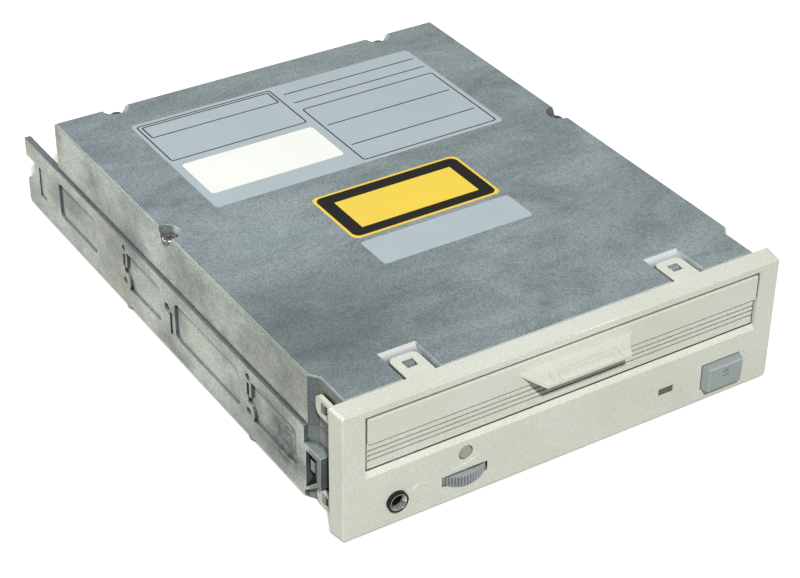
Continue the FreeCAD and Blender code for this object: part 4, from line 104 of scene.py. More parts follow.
class Canvas:
    """Node tree of a new material or world, with its shader."""

    def __init__(self, owner: bpy.types.Material | bpy.types.World, shader: str = "Principled BSDF") -> None:
        """Open the node tree.

        Args:
            owner: the material or world.
            shader: name of the shader node that it starts with.
        """
        owner.use_nodes = True
        self.owner = owner
        self.tree = owner.node_tree
        self.shader = self.tree.nodes[shader]

    @cached_property
    def coords(self) -> Socket:
        """Return the object coordinates."""
        return self.add(Kind.COORDS).outputs["Object"]

    @cached_property
    def spot(self) -> Node:
        """Return the object coordinates by axis."""
        return self.add(Kind.AXES, {"Vector": self.coords})

    @cached_property
    def normal(self) -> Socket:
        """Return the direction that the face itself points in."""
        return self.add(Kind.GEOMETRY).outputs["True Normal"]

    @cached_property
    def tilt(self) -> Node:
        """Return the face's direction by axis."""
        return self.add(Kind.AXES, {"Vector": self.normal})

    def add(self, kind: Kind, inputs: dict | None = None, **settings: object) -> Node:
        """Add a node.

        Args:
            kind: kind of the node.
            inputs: what its inputs take, as for fill.
            settings: properties of the node.

        Returns:
            The new node.
        """
        node = self.tree.nodes.new(kind.value)
        for name, value in settings.items():
            setattr(node, name, value)
        self.fill(node, inputs or {})
        return node

    def fill(self, node: Node, inputs: dict) -> None:
        """Set or link the inputs of a node.

        Args:
            node: the node.
            inputs: constants, sockets or nodes by the input's name or number; a node stands for the first
                of its outputs that is in use.
        """
        for name, value in inputs.items():
            named = (socket for socket in node.inputs if socket.enabled and socket.name == name)
            target = node.inputs[name] if isinstance(name, int) else next(named)
            if isinstance(value, bpy.types.Node):
                value = next(socket for socket in value.outputs if socket.enabled)
            if isinstance(value, Socket):
                self.tree.links.new(value, target)
            else:
                target.default_value = value


@dataclass(frozen=True)
class Finish:
    """Look of one real material.

    Attributes:
        name: name of the Blender material.
        slot: material slot of the record that new pieces with this finish belong to; not used.
    """

    name: str
    slot: str

    def material(self) -> bpy.types.Material:
        """Return the material, built when it is first asked for.

        Returns:
            The material.
        """
        known = bpy.data.materials.get(self.name)
        if known:
            return known
        canvas = Canvas(bpy.data.materials.new(self.name))
        self.build(canvas)
        return canvas.owner

    def build(self, canvas: Canvas) -> None:
        """Fill the canvas with the nodes of this finish."""
        raise NotImplementedError


@dataclass(frozen=True)
class MouldedPlastic(Finish):
    """Injection moulded plastic: speckled spark-eroded grain, uneven aged colour, grime and painted shade in
    the gaps, and painted shade on ledges that face the light.

    Attributes:
        colour: main colour.
        aged: colour of the patches that light and dust have changed.
        dust_and_shade: colour of the grime and of the painted shade in gaps and grooves.
        roughness: mean roughness.
        grain: size of the moulded grain in mm, coarser than the real one so that it shows.
        relief: height of that grain in mm.
        speckle: how much the grain changes the brightness.
        edge: radius of the soft edges in mm.
        open: share of open sky below which grime and painted shade gather.
        depth: how far away the walls of a gap count, in mm.
        ledge_shade: how much painted shade darkens the ledges that face the light.
        ledge: direction that these ledges face.
        shine: strength of the reflections, 0.5 on plain plastic.
        cloud: size of the aged patches in mm.
    """

    colour: str
    aged: str
    dust_and_shade: str
    roughness: float = 0.45
    grain: float = 0.3
    relief: float = 0.012
    speckle: float = 0.15
    edge: float = 0.12
    open: float = 0.4
    depth: float = 2.4
    ledge_shade: float = 0.0
    ledge: Point = (0.0, -0.5, 0.866)
    shine: float = 0.5
    cloud: float = 18.0

    def build(self, canvas: Canvas) -> None:
        """Mix the colours in broad clouds, speckle and grain the surface, paint shade on the ledges that face
        the light, and darken the gaps with grime and painted shade.

        Args:
            canvas: canvas of the new material.
        """
        add = canvas.add
        cloud = add(Kind.NOISE, {"Vector": canvas.coords, "Scale": per(self.cloud), "Detail": 4.0})
        grain = add(Kind.NOISE, {"Vector": canvas.coords, "Scale": per(self.grain), "Detail": 2.0})
        share = add(Kind.RANGE, {"Value": cloud, "From Min": 0.35, "From Max": 0.75})
        tint = add(Kind.MIX, {"Factor": share, "A": linear(self.colour), "B": linear(self.aged)}, **BLEND)
        level = add(Kind.RANGE, {"Value": grain, "From Min": 0.3, "From Max": 0.7,
                                 "To Min": 1 - self.speckle, "To Max": 1 + self.speckle})
        # Painted shade: faces turned towards the ledge direction, where the light falls, are darkened.
        ledge = add(Kind.VECTOR, {0: canvas.normal, 1: self.ledge}, operation="DOT_PRODUCT")
        ledge_shading = add(Kind.RANGE, {"Value": ledge, "From Min": 0.88, "From Max": 0.97,
                                 "To Min": 1.0, "To Max": 1 - self.ledge_shade})
        grain_and_ledge_shade = add(Kind.MATH, {0: level, 1: ledge_shading}, operation="MULTIPLY")
        grained = add(Kind.MIX, {"Factor": 1.0, "A": tint, "B": grain_and_ledge_shade}, **PRODUCT)
        # Painted shade over the grime: the less open sky a point has, the more it takes the dark gap colour.
        sky = add(Kind.OCCLUSION, {"Distance": self.depth * MM}, samples=8).outputs["AO"]
        gap = add(Kind.RANGE, {"Value": sky, "From Min": self.open, "From Max": self.open / 2,
                               "To Max": 0.97})
        skin = add(Kind.MIX, {"Factor": gap, "A": grained, "B": linear(self.dust_and_shade)}, **BLEND)
        gloss = add(Kind.RANGE, {"Value": grain, "To Min": self.roughness - 0.08,
                                 "To Max": self.roughness + 0.1})
        soft = add(Kind.BEVEL, {"Radius": self.edge * MM}, samples=4)
        bump = add(Kind.BUMP, {"Height": grain, "Strength": 0.35, "Distance": self.relief * MM,
                               "Normal": soft})
        canvas.fill(canvas.shader, {"Base Color": skin, "Roughness": gloss, "Specular IOR Level": self.shine,
                                    "Normal": bump})


@dataclass(frozen=True)
class Spot:
    """Round place on the cast skin that differs from the rest.

    Attributes:
        middle: its middle.
        near: distance up to which it shows in full.
        far: distance at which it ends.
        level: brightness, or share of grime, in its middle.
    """

    middle: Point
    near: float
    far: float
    level: float


@dataclass(frozen=True)
class CastAlloy(Finish):
    """Die-cast alloy: sandy and clouded on top, smeared along its walls, grime and painted shade in gaps,
    bright bare edges.

    Attributes:
        dark: colour of the darker clouds on top.
        light: colour of the cleaner skin on top.
        graphite: colour of the darker smears on the walls.
        tan: colour of the walls between the smears.
        stain: colour of the brown patches on the walls.
        dirt_and_shade: colour of the grime in the pocket and the joint, and of the painted shade in gaps and
            corners.
        wear_and_glint: bare metal along the edges, and the painted glint on the ramps behind the top tabs.
        metal: how metallic the skin is on top; the walls are half as metallic.
        cloud: size of the clouds and smears in mm.
        shift: how far the smears of the walls are moved along the bay, in mm.
        patch: size of the brown patches in mm.
        grain: size of the sandy grain in mm, coarser than the real one so that it shows.
        relief: height of that grain in mm.
        edge: radius of the worn edges in mm.
        depth: how far away the walls of a gap count, in mm.
        spots: the handled place and the hazy place on top.
        scuff: grime that has stayed in the front pocket of the left wall.
        blot: size of the blots in that grime in mm.
        seam: height of the dirty joint of chassis and cover.
        seam_half: distances from the joint at which its dirt starts to fade and ends.
        neck: rear end of the painted shade on the walls behind the bezel.
        neck_fade: length over which that painted shade ends.
        ramp_glint: heights between which the ramps behind the top tabs get a painted glint.
        ramp_tilt: upward part of the direction that these ramps face.
    """

    dark: str
    light: str
    graphite: str
    tan: str
    stain: str
    dirt_and_shade: str
    wear_and_glint: str
    metal: float = 0.5
    cloud: float = 26.0
    shift: float = 20.0
    patch: float = 48.0
    grain: float = 0.45
    relief: float = 0.04
    edge: float = 0.3
    depth: float = 2.2
    spots: tuple[Spot, ...] = (Spot((-56.0, 36.0, 42.0), 12.0, 46.0, 0.68),
                               Spot((-44.0, 84.0, 42.0), 4.0, 30.0, 1.14))
    scuff: Spot = Spot((-73.0, 33.5, 14.0), 4.0, 12.0, 0.8)
    blot: float = 3.2
    seam: float = 25.8
    seam_half: Pair = (0.1, 0.2)
    neck: float = 18.8
    neck_fade: float = 1.0
    ramp_glint: Pair = (40.8, 41.7)
    ramp_tilt: float = 0.913

    def build(self, canvas: Canvas) -> None:
        """Tone and grain the skin, blot grime into its pocket and seam, paint shade into its gaps, rub its
        edges bright and paint a glint on the ramps.

        Args:
            canvas: canvas of the new material.
        """
        add = canvas.add
        dirt_and_shade = linear(self.dirt_and_shade)
        steep = add(Kind.MATH, {0: canvas.tilt.outputs["X"]}, operation="ABSOLUTE")
        side = add(Kind.RANGE, {"Value": steep, "From Min": 0.8, "From Max": 0.97})
        cloud = self.clouds(canvas, side)
        grain = add(Kind.NOISE, {"Vector": canvas.coords, "Scale": per(self.grain), "Detail": 1.0})
        tone = self.tones(canvas, side, cloud)
        level = self.levels(canvas, side, grain)
        grained = add(Kind.MIX, {"Factor": 1.0, "A": tone, "B": level}, **PRODUCT)
        soiled = add(Kind.MIX, {"Factor": self.grime(canvas), "A": grained, "B": dirt_and_shade}, **BLEND)
        # Painted shade over the grime: gaps and corners with little open sky take the dark colour.
        sky = add(Kind.OCCLUSION, {"Distance": self.depth * MM}, samples=8).outputs["AO"]
        gap = add(Kind.RANGE, {"Value": sky, "From Min": 0.8, "From Max": 0.3, "To Max": 0.92})
        dirty = add(Kind.MIX, {"Factor": gap, "A": soiled, "B": dirt_and_shade}, **BLEND)
        soft = add(Kind.BEVEL, {"Radius": self.edge * MM}, samples=6)
        # Bare metal on the edges, and painted glint on the ramps behind the top tabs.
        bare_and_glint = self.bare_and_glint_share(canvas, cloud, sky, soft)
        worn_and_glinting = add(Kind.MIX, {"Factor": bare_and_glint, "A": dirty, "B": linear(self.wear_and_glint)}, **BLEND)
        skin = add(Kind.MIX, {"Factor": self.joint(canvas, side), "A": worn_and_glinting, "B": dirt_and_shade}, **BLEND)
        gloss = add(Kind.RANGE, {"Value": cloud, "To Min": 0.7, "To Max": 0.54})
        bump = add(Kind.BUMP, {"Height": grain, "Strength": 0.45, "Distance": self.relief * MM,
                               "Normal": soft})
        sheen = add(Kind.RANGE, {"Value": side, "To Min": self.metal, "To Max": self.metal / 2})
        canvas.fill(canvas.shader, {"Base Color": skin, "Metallic": sheen, "Roughness": gloss,
                                    "Normal": bump})

    def clouds(self, canvas: Canvas, side: Node) -> Node:
        """Add the clouds: the metal ran across the cover, and the walls are smeared along the bay.

        Args:
            canvas: canvas of the new material.
            side: how far a face is a side wall.

        Returns:
            The noise of the clouds.
        """
        add = canvas.add
        across = add(Kind.MAPPING, {"Vector": canvas.coords, "Scale": (0.7, 1.4, 1.0)})
        along = add(Kind.MAPPING, {"Vector": canvas.coords, "Location": (0.0, self.shift * MM, 0.0),
                                   "Scale": (1.0, 1.0, 1.5)})
        flow = add(Kind.MIX, {"Factor": side, "A": across, "B": along}, data_type="VECTOR")
        swirl = add(Kind.RANGE, {"Value": side, "To Min": 0.8, "To Max": 0.1})
        return add(Kind.NOISE, {"Vector": flow, "Scale": per(self.cloud), "Detail": 8.0,
                                "Roughness": 0.66, "Distortion": swirl})

    def tones(self, canvas: Canvas, side: Node, cloud: Node) -> Node:
        """Mix the colours of the cover, with soft clouds, and of the walls, with harder smears and patches.

        Args:
            canvas: canvas of the new material.
            side: how far a face is a side wall.
            cloud: the clouds.

        Returns:
            The colour before grain and dirt.
        """
        add = canvas.add
        soft = add(Kind.RANGE, {"Value": cloud, "From Min": 0.3, "From Max": 0.72})
        top = add(Kind.MIX, {"Factor": soft, "A": linear(self.dark), "B": linear(self.light)}, **BLEND)
        patch = add(Kind.NOISE, {"Vector": canvas.coords, "Scale": per(self.patch), "Detail": 4.0})
        soak = add(Kind.RANGE, {"Value": patch, "From Min": 0.5, "From Max": 0.72, "To Max": 0.7})
        aged = add(Kind.MIX, {"Factor": soak, "A": linear(self.tan), "B": linear(self.stain)}, **BLEND)
        hard = add(Kind.RANGE, {"Value": cloud, "From Min": 0.36, "From Max": 0.6})
        wall = add(Kind.MIX, {"Factor": hard, "A": linear(self.graphite), "B": aged}, **BLEND)
        return add(Kind.MIX, {"Factor": side, "A": top, "B": wall}, **BLEND)

    def levels(self, canvas: Canvas, side: Node, grain: Node) -> Node:
        """Work out the brightness from grain, painted shade on the front facets and the neck, and the spots
        on top.

        Args:
            canvas: canvas of the new material.
            side: how far a face is a side wall.
            grain: the sandy grain.

        Returns:
            The level that the colour is multiplied by.
        """
        add = canvas.add
        sandy = add(Kind.RANGE, {"Value": grain, "From Min": 0.3, "From Max": 0.7,
                                 "To Min": 0.74, "To Max": 1.26})
        # Painted shade: facets that face the front are darkened.
        shade = add(Kind.RANGE, {"Value": canvas.tilt.outputs["Y"], "From Min": -0.45,
                                 "From Max": -0.7, "To Min": 1.0, "To Max": 0.4})
        level = add(Kind.MATH, {0: sandy, 1: shade}, operation="MULTIPLY")
        # Painted shade: the walls of the neck behind the bezel are darkened.
        least = add(Kind.RANGE, {"Value": side, "To Min": 1.0, "To Max": 0.55})
        neck = add(Kind.RANGE, {"Value": canvas.spot.outputs["Y"], "To Min": least,
                                "From Min": place(0, self.neck, 0).y,
                                "From Max": place(0, self.neck + self.neck_fade, 0).y})
        level = add(Kind.MATH, {0: level, 1: neck}, operation="MULTIPLY")
        for spot in self.spots:
            least = add(Kind.RANGE, {"Value": side, "To Min": spot.level, "To Max": 1.0})
            reach = add(Kind.VECTOR, {0: canvas.coords, 1: place(*spot.middle)}, operation="DISTANCE")
            hand = add(Kind.RANGE, {"Value": reach, "From Min": spot.near * MM,
                                    "From Max": spot.far * MM, "To Min": least})
            level = add(Kind.MATH, {0: level, 1: hand}, operation="MULTIPLY")
        return level

    def grime(self, canvas: Canvas) -> Node:
        """Add the blotted grime of the front pocket.

        Args:
            canvas: canvas of the new material.

        Returns:
            The share of grime.
        """
        add = canvas.add
        middle = place(*self.scuff.middle)
        reach = add(Kind.VECTOR, {0: canvas.coords, 1: middle}, operation="DISTANCE")
        held = add(Kind.RANGE, {"Value": reach, "From Min": self.scuff.far * MM,
                                "From Max": self.scuff.near * MM, "To Max": self.scuff.level})
        blot = add(Kind.NOISE, {"Vector": canvas.coords, "Scale": per(self.blot), "Detail": 6.0,
                                "Roughness": 0.7})
        speck = add(Kind.RANGE, {"Value": blot, "From Min": 0.4, "From Max": 0.66, "To Min": 0.12})
        return add(Kind.MATH, {0: held, 1: speck}, operation="MULTIPLY")

    def bare_and_glint_share(self, canvas: Canvas, cloud: Node, sky: Socket, soft: Node) -> Node:
        """Find the bare places, open edges in patches, and paint a glint on the ramps towards their upper
        edge.

        Args:
            canvas: canvas of the new material.
            cloud: the clouds.
            sky: share of open sky.
            soft: direction of the softened surface.

        Returns:
            The share of bare metal and painted glint.
        """
        add = canvas.add
        flat = add(Kind.VECTOR, {0: soft, 1: canvas.normal}, operation="DOT_PRODUCT")
        edge = add(Kind.RANGE, {"Value": flat, "From Min": 0.995, "From Max": 0.92})
        chip = add(Kind.RANGE, {"Value": cloud, "From Min": 0.4, "From Max": 0.6,
                                "To Min": 0.25, "To Max": 0.9})
        bare = add(Kind.RANGE, {"Value": sky, "From Min": 0.6, "From Max": 0.9})
        patchy = add(Kind.MATH, {0: chip, 1: bare}, operation="MULTIPLY")
        wear_and_glint = add(Kind.MATH, {0: edge, 1: patchy}, operation="MULTIPLY")
        # Painted glint: faces tilted like the ramps turn bright towards their upper edge.
        ramp_glint = add(Kind.MATH, {0: canvas.tilt.outputs["Z"], 1: self.ramp_tilt, 2: 0.04},
                   operation="COMPARE")
        low, high = self.ramp_glint
        ramp_glint_band = add(Kind.RANGE, {"Value": canvas.spot.outputs["Z"], "From Min": low * MM,
                                 "From Max": high * MM, "To Max": 0.75})
        return add(Kind.MATH, {0: ramp_glint, 1: ramp_glint_band, 2: wear_and_glint}, operation="MULTIPLY_ADD", use_clamp=True)

    def joint(self, canvas: Canvas, side: Node) -> Node:
        """Draw the dirty joint of chassis and cover, fainter off the walls.

        Args:
            canvas: canvas of the new material.
            side: how far a face is a side wall.

        Returns:
            The share of grime.
        """
        add = canvas.add
        full, end = self.seam_half
        above = add(Kind.MATH, {0: canvas.spot.outputs["Z"], 1: self.seam * MM}, operation="SUBTRACT")
        off = add(Kind.MATH, {0: above}, operation="ABSOLUTE")
        line = add(Kind.RANGE, {"Value": off, "From Min": end * MM, "From Max": full * MM, "To Max": 0.85})
        share = add(Kind.RANGE, {"Value": side, "To Min": 0.5, "To Max": 1.0})
        return add(Kind.MATH, {0: line, 1: share}, operation="MULTIPLY")


@dataclass(frozen=True)
class SheetMetal(Finish):
    """Bare, plated or turned metal with fine drawing lines and small changes of gloss.

    Attributes:
        colour: reflected colour.
        tarnish: colour of the duller patches.
        roughness: mean roughness.
        lines: distance of the drawing lines in mm, wider than the real one so that they show.
        stretch: scale of the lines along X, Y and Z, small in the direction that they run in.
        metal: how metallic the surface is.
        hollow_shade: how dark the painted shade in its hollows is.
        black: colour of the painted shade in these hollows.
        depth: how far away the walls of a hollow count, in mm.
        patch: size of the duller patches in mm.
        relief: height of the lines in mm.
        edge: radius of the soft edges in mm.
    """

    colour: str
    tarnish: str
    roughness: float = 0.3
    lines: float = 0.25
    stretch: Point = (1.0, 0.04, 1.0)
    metal: float = 1.0
    hollow_shade: float = 0.0
    black: str = "#0c0b0a"
    depth: float = 2.5
    patch: float = 9.0
    relief: float = 0.01
    edge: float = 0.12

    def build(self, canvas: Canvas) -> None:
        """Draw the lines as stretched noise over patches of tarnish, and paint shade into the hollows.

        Args:
            canvas: canvas of the new material.
        """
        add = canvas.add
        drawn = add(Kind.MAPPING, {"Vector": canvas.coords, "Scale": self.stretch})
        line = add(Kind.NOISE, {"Vector": drawn, "Scale": per(self.lines), "Detail": 3.0})
        patch = add(Kind.NOISE, {"Vector": canvas.coords, "Scale": per(self.patch), "Detail": 5.0})
        share = add(Kind.RANGE, {"Value": patch, "From Min": 0.4, "From Max": 0.75})
        tint = add(Kind.MIX, {"Factor": share, "A": linear(self.colour), "B": linear(self.tarnish)},
                   **BLEND)
        # Painted shade: hollows with little open sky turn towards the dark colour.
        sky = add(Kind.OCCLUSION, {"Distance": self.depth * MM}, samples=8).outputs["AO"]
        hollow = add(Kind.RANGE, {"Value": sky, "From Min": 0.97, "From Max": 0.7, "To Max": self.hollow_shade})
        skin = add(Kind.MIX, {"Factor": hollow, "A": tint, "B": linear(self.black)}, **BLEND)
        gloss = add(Kind.RANGE, {"Value": line, "To Min": self.roughness - 0.1,
                                 "To Max": self.roughness + 0.12})
        soft = add(Kind.BEVEL, {"Radius": self.edge * MM}, samples=4)
        bump = add(Kind.BUMP, {"Height": line, "Strength": 0.25, "Distance": self.relief * MM,
                               "Normal": soft})
        canvas.fill(canvas.shader, {"Base Color": skin, "Metallic": self.metal, "Roughness": gloss,
                                    "Normal": bump})


@dataclass(frozen=True)
class PrintedFilm(Finish):
    """Printed film of a label: even ink that fades in broad clouds, with a soft sheen.

    Attributes:
        ink: printed colour.
        faded: colour where the print has faded.
        roughness: mean roughness.
        cloud: size of the faded clouds in mm.
        tooth: size of the film's paper-like tooth in mm, coarser than the real one so that it shows.
        relief: height of that tooth in mm.
    """

    ink: str
    faded: str
    roughness: float = 0.55
    cloud: float = 22.0
    tooth: float = 0.3
    relief: float = 0.006

    def build(self, canvas: Canvas) -> None:
        """Fade the ink in broad clouds and give the film its tooth.

        Args:
            canvas: canvas of the new material.
        """
        add = canvas.add
        cloud = add(Kind.NOISE, {"Vector": canvas.coords, "Scale": per(self.cloud), "Detail": 3.0})
        tooth = add(Kind.NOISE, {"Vector": canvas.coords, "Scale": per(self.tooth), "Detail": 2.0})
        share = add(Kind.RANGE, {"Value": cloud, "From Min": 0.3, "From Max": 0.8})
        tint = add(Kind.MIX, {"Factor": share, "A": linear(self.ink), "B": linear(self.faded)}, **BLEND)
        gloss = add(Kind.RANGE, {"Value": tooth, "To Min": self.roughness - 0.06,
                                 "To Max": self.roughness + 0.08})
        bump = add(Kind.BUMP, {"Height": tooth, "Strength": 0.2, "Distance": self.relief * MM})
        canvas.fill(canvas.shader, {"Base Color": tint, "Roughness": gloss, "Normal": bump})


@dataclass(frozen=True)
class CircuitBoard(Finish):
    """Fibreglass board under solder mask, with the traces showing through.

    Attributes:
        mask: colour of the mask over bare fibreglass.
        trace: colour of the mask over copper.
        pitch: distance of the traces in mm.
        copper: height of the traces in mm.
        weave: size of the glass weave in mm.
    """

    mask: str
    trace: str
    pitch: float = 1.27
    copper: float = 0.035
    weave: float = 0.5

    def build(self, canvas: Canvas) -> None:
        """Lay out traces as bricks of copper with gaps of bare board.

        Args:
            canvas: canvas of the new material.
        """
        add = canvas.add
        # The colours of the bricks are levels: full copper, thin copper and bare board.
        copper = add(Kind.BRICK, {"Vector": canvas.coords, "Color1": linear("#ffffff"),
                                  "Color2": (0.2, 0.2, 0.2, 1.0), "Mortar": linear("#000000"),
                                  "Scale": per(self.pitch), "Mortar Size": 0.2, "Brick Width": 9.0,
                                  "Row Height": 1.0}, offset=0.37)
        tint = add(Kind.MIX, {"Factor": copper, "A": linear(self.mask), "B": linear(self.trace)}, **BLEND)
        bump = add(Kind.BUMP, {"Height": copper, "Strength": 0.4, "Distance": self.copper * MM})
        weave = add(Kind.NOISE, {"Vector": canvas.coords, "Scale": per(self.weave), "Detail": 2.0})
        gloss = add(Kind.RANGE, {"Value": weave, "To Min": 0.22, "To Max": 0.4})
        canvas.fill(canvas.shader, {"Base Color": tint, "Roughness": gloss, "Normal": bump})


@dataclass(frozen=True)
class ClearPlastic(Finish):
    """Clear or smoked moulding that light goes through.

    Attributes:
        colour: tint of the moulding.
        clarity: share of the light that goes through.
        roughness: mean roughness.
        haze: tint of its haze.
        cloud: size of the haze in mm.
    """

    colour: str
    clarity: float
    roughness: float = 0.12
    haze: str = "#d8d6cc"
    cloud: float = 1.5

    def build(self, canvas: Canvas) -> None:
        """Cloud the moulding slightly and let light through.

        Args:
            canvas: canvas of the new material.
        """
        add = canvas.add
        haze = add(Kind.NOISE, {"Vector": canvas.coords, "Scale": per(self.cloud), "Detail": 3.0})
        tint = add(Kind.MIX, {"Factor": haze, "A": linear(self.colour), "B": linear(self.haze)}, **PRODUCT)
        gloss = add(Kind.RANGE, {"Value": haze, "To Min": self.roughness - 0.06,
                                 "To Max": self.roughness + 0.1})
        canvas.fill(canvas.shader, {"Base Color": tint, "Roughness": gloss,
                                    "Transmission Weight": self.clarity})


class Look(Enum):
    """Finishes of the drive, named for their real materials."""

    # Cream ABS of the bezel and door: warm off-white, matt, yellowed a little, dusty gaps with painted shade,
    # painted shade on up-front faces.
    CREAM_ABS = MouldedPlastic("cream_abs", "bezel_plastic", "#d5d9cd", "#d0d4c6", "#26241f", ledge_shade=0.17)
    # Blue-grey ABS of the button: matt, with a fine grain, painted shade on top.
    GREY_ABS = MouldedPlastic("grey_abs", "grey_plastic", "#99a3a5", "#a0a8a7", "#2c3033", 0.5, ledge_shade=0.2,
                              ledge=UP)
    # The same ABS on the wheel, with grime and painted shade in its knurl and painted shade on top.
    WORN_ABS = MouldedPlastic("knurled_grey_abs", "grey_plastic", "#9aa2a5", "#a3aaab", "#1c2023", 0.5,
                              open=0.82, depth=0.8, ledge_shade=0.16, ledge=UP)
    # Stone-grey ABS of the access plug: coarser and warmer.
    STONE_ABS = MouldedPlastic("stone_abs", "grey_plastic", "#a8a79b", "#9d9d93", "#2f2e2a", 0.5, speckle=0.2)
    # Glass-filled black nylon of the jack, sockets and switches: near black with a dull sheen.
    BLACK_NYLON = MouldedPlastic("black_nylon", "black_plastic", "#131314", "#19191a", "#090909", 0.42,
                                 shine=0.25)
    # White acetal of the gears and cam slide: milky and a little waxy.
    WHITE_ACETAL = MouldedPlastic("white_acetal", "white_nylon", "#e3e1d6", "#dcd9cb", "#8a867a", 0.35)
    # Soft black rubber of the dampers and belt: no shine.
    RUBBER = MouldedPlastic("black_rubber", "rubber", "#161616", "#1e1d1c", "#0e0e0e", 0.75, 0.25, 0.02)
    # Die-cast alloy of the chassis and cover: blue-grey, sandy, tan on the side walls.
    CAST_ALLOY = CastAlloy("cast_alloy_skin", "cast_alloy", "#849195", "#afbcbe", "#999f9b", "#d4dbd3",
                           "#b6b09d", "#222425", "#eef0ee")
    # Zinc-plated steel sheet of the bottom plate, deck and holder: grey, with long faint lines.
    ZINC_SHEET = SheetMetal("zinc_sheet", "sheet_steel", "#b3b5b2", "#9a9c98", 0.38)
    # Dull nickel-plated brass of the jack's ring and the earth spring: pale, with painted shade in its
    # hollows.
    DARK_NICKEL = SheetMetal("dull_nickel", "bright_steel", "#e2e0da", "#b5b3ac", 0.24, 0.15, metal=0.85,
                             hollow_shade=0.9)
    # Bright nickel-plated steel of screws, rods and springs: smooth, with small glints.
    NICKEL_STEEL = SheetMetal("nickel_steel", "bright_steel", "#c9c8c3", "#aeaca5", 0.24, 0.15)
    # Turned aluminium of the turntable: pale, with fine lines.
    TURNED_ALLOY = SheetMetal("turned_aluminium", "turned_alloy", "#c4c6c8", "#adb0b2", 0.28, 0.12)
    # Gilt brass of the contact pins: warm and bright.
    GILT_PIN = SheetMetal("gilt_pin", "gold_pins", "#c9a75a", "#ad8f4e", 0.25, 0.12)
    # Sintered ferrite of the turntable's magnet: dark grey with a dull shine.
    FERRITE = SheetMetal("ferrite", "magnet", "#3a3a3c", "#2c2c2e", 0.55)
    # Green solder mask of the boards: glossy, with the copper showing as paler lines.
    GREEN_BOARD = CircuitBoard("green_board", "board", "#1f5a3a", "#2f7550")
    # Grey vinyl of the flat cable: soft and matt.
    GREY_VINYL = MouldedPlastic("grey_vinyl", "ribbon", "#a3a5a4", "#94969a", "#55565a", 0.5)
    # Smoked acrylic of the lamp window: brownish and half clear.
    SMOKED_ACRYLIC = ClearPlastic("smoked_acrylic", "lamp_window", "#8a856e", 0.35)
    # Amber epoxy of the lamp: clear orange.
    AMBER_EPOXY = ClearPlastic("amber_epoxy", "lamp_body", "#c9772b", 0.5)
    # Coated glass of the objective lens: clear, with a blue cast.
    LENS_GLASS = ClearPlastic("lens_glass", "lens_glass", "#9fb0c8", 0.9, 0.08)
    # Printed polyester films of the bare label plates and the inks on them: even, with a soft sheen.
    PALE_FILM = PrintedFilm("pale_blue_film", "bezel_plastic", "#abb8be", "#b0bdc2")
    WHITE_FILM = PrintedFilm("white_film", "bezel_plastic", "#f3f6f1", "#eef1ea")
    YELLOW_FILM = PrintedFilm("yellow_film", "bezel_plastic", "#f1d14a", "#edce52")
    # Dark grey of the raised eject mark: painted shade standing in for the shadowed lines of the moulded
    # mark.
    GREY_INK = PrintedFilm("eject_mark_shade", "grey_plastic", "#6d767a", "#757d80")
    BLACK_INK = PrintedFilm("black_ink", "black_plastic", "#14120d", "#1b1914")


def dress(look: Look, *names: str) -> None:
    """Give CAD nodes a finish through their material slots.

    Args:
        look: the finish.
        names: names of the nodes.
    """
    for name in names:
        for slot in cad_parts[name].material_slots:
            slot.material = look.value.material()
        log.info("node %s: %s", name, look.value.name)


def mount(piece: Piece, look: Look, body: str) -> None:
    """Give a new piece its finish and let it ride on a body.

    Args:
        piece: the finished piece.
        look: its finish.
        body: the body that carries it.
    """
    piece.data.materials.clear()
    piece.data.materials.append(look.value.material())
    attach(piece, body)
    log.info("piece %s on %s: %s", piece.name, body, look.value.name)


def begun(name: str) -> Piece:
    """Name the primitive that was just added and put its place into its mesh.

    Args:
        name: name of the piece.

    Returns:
        The piece.
    """
    piece = bpy.context.active_object
    piece.name = name
    piece.data.name = name
    bpy.ops.object.transform_apply(location=True, rotation=True, scale=True)
    return piece


def box(name: str, x: Pair, y: Pair, z: Pair) -> Piece:
    """Add a block.

    Args:
        name: name of the piece.
        x: its two ends across.
        y: its two ends along.
        z: its two ends in height.

    Returns:
        The block.
    """
    bpy.ops.object.select_all(action="DESELECT")
    middle = place(sum(x) / 2, sum(y) / 2, sum(z) / 2)
    size = tuple((end - start) * MM for start, end in (x, y, z))
    bpy.ops.mesh.primitive_cube_add(size=1, location=middle, scale=size)
    return begun(name)


@contextmanager
def editing(piece: Piece, chosen: Callable[[Vector], bool] = lambda point: True) -> Iterator[None]:
    """Edit a piece with some of its vertices selected.

    Args:
        piece: the piece.
        chosen: tells by its place in the drawing frame, in mm, whether a vertex is selected.

    Returns:
        The context in which edit mode is on.
    """
    bpy.ops.object.select_all(action="DESELECT")
    piece.select_set(True)
    bpy.context.view_layer.objects.active = piece
    bpy.ops.object.mode_set(mode="EDIT")
    bpy.ops.mesh.select_mode(type="VERT")
    bpy.ops.mesh.select_all(action="DESELECT")
    mesh = bmesh.from_edit_mesh(piece.data)
    for vertex in mesh.verts:
        vertex.select_set(chosen(vertex.co / MM + Vector((0, ORIGIN_DEPTH, 0))))
    mesh.select_flush(True)
    bmesh.update_edit_mesh(piece.data)
    yield
    bpy.ops.object.mode_set(mode="OBJECT")


def bordered(piece: Piece, width: float) -> Piece:
    """Cut a flat piece down to a border along its edge.

    Args:
        piece: the flat piece.
        width: width of the border.

    Returns:
        The piece.
    """
    with editing(piece):
        bpy.ops.mesh.select_mode(type="FACE")
        bpy.ops.mesh.inset(thickness=width * MM, depth=0)
        bpy.ops.mesh.delete(type="FACE")
    return piece


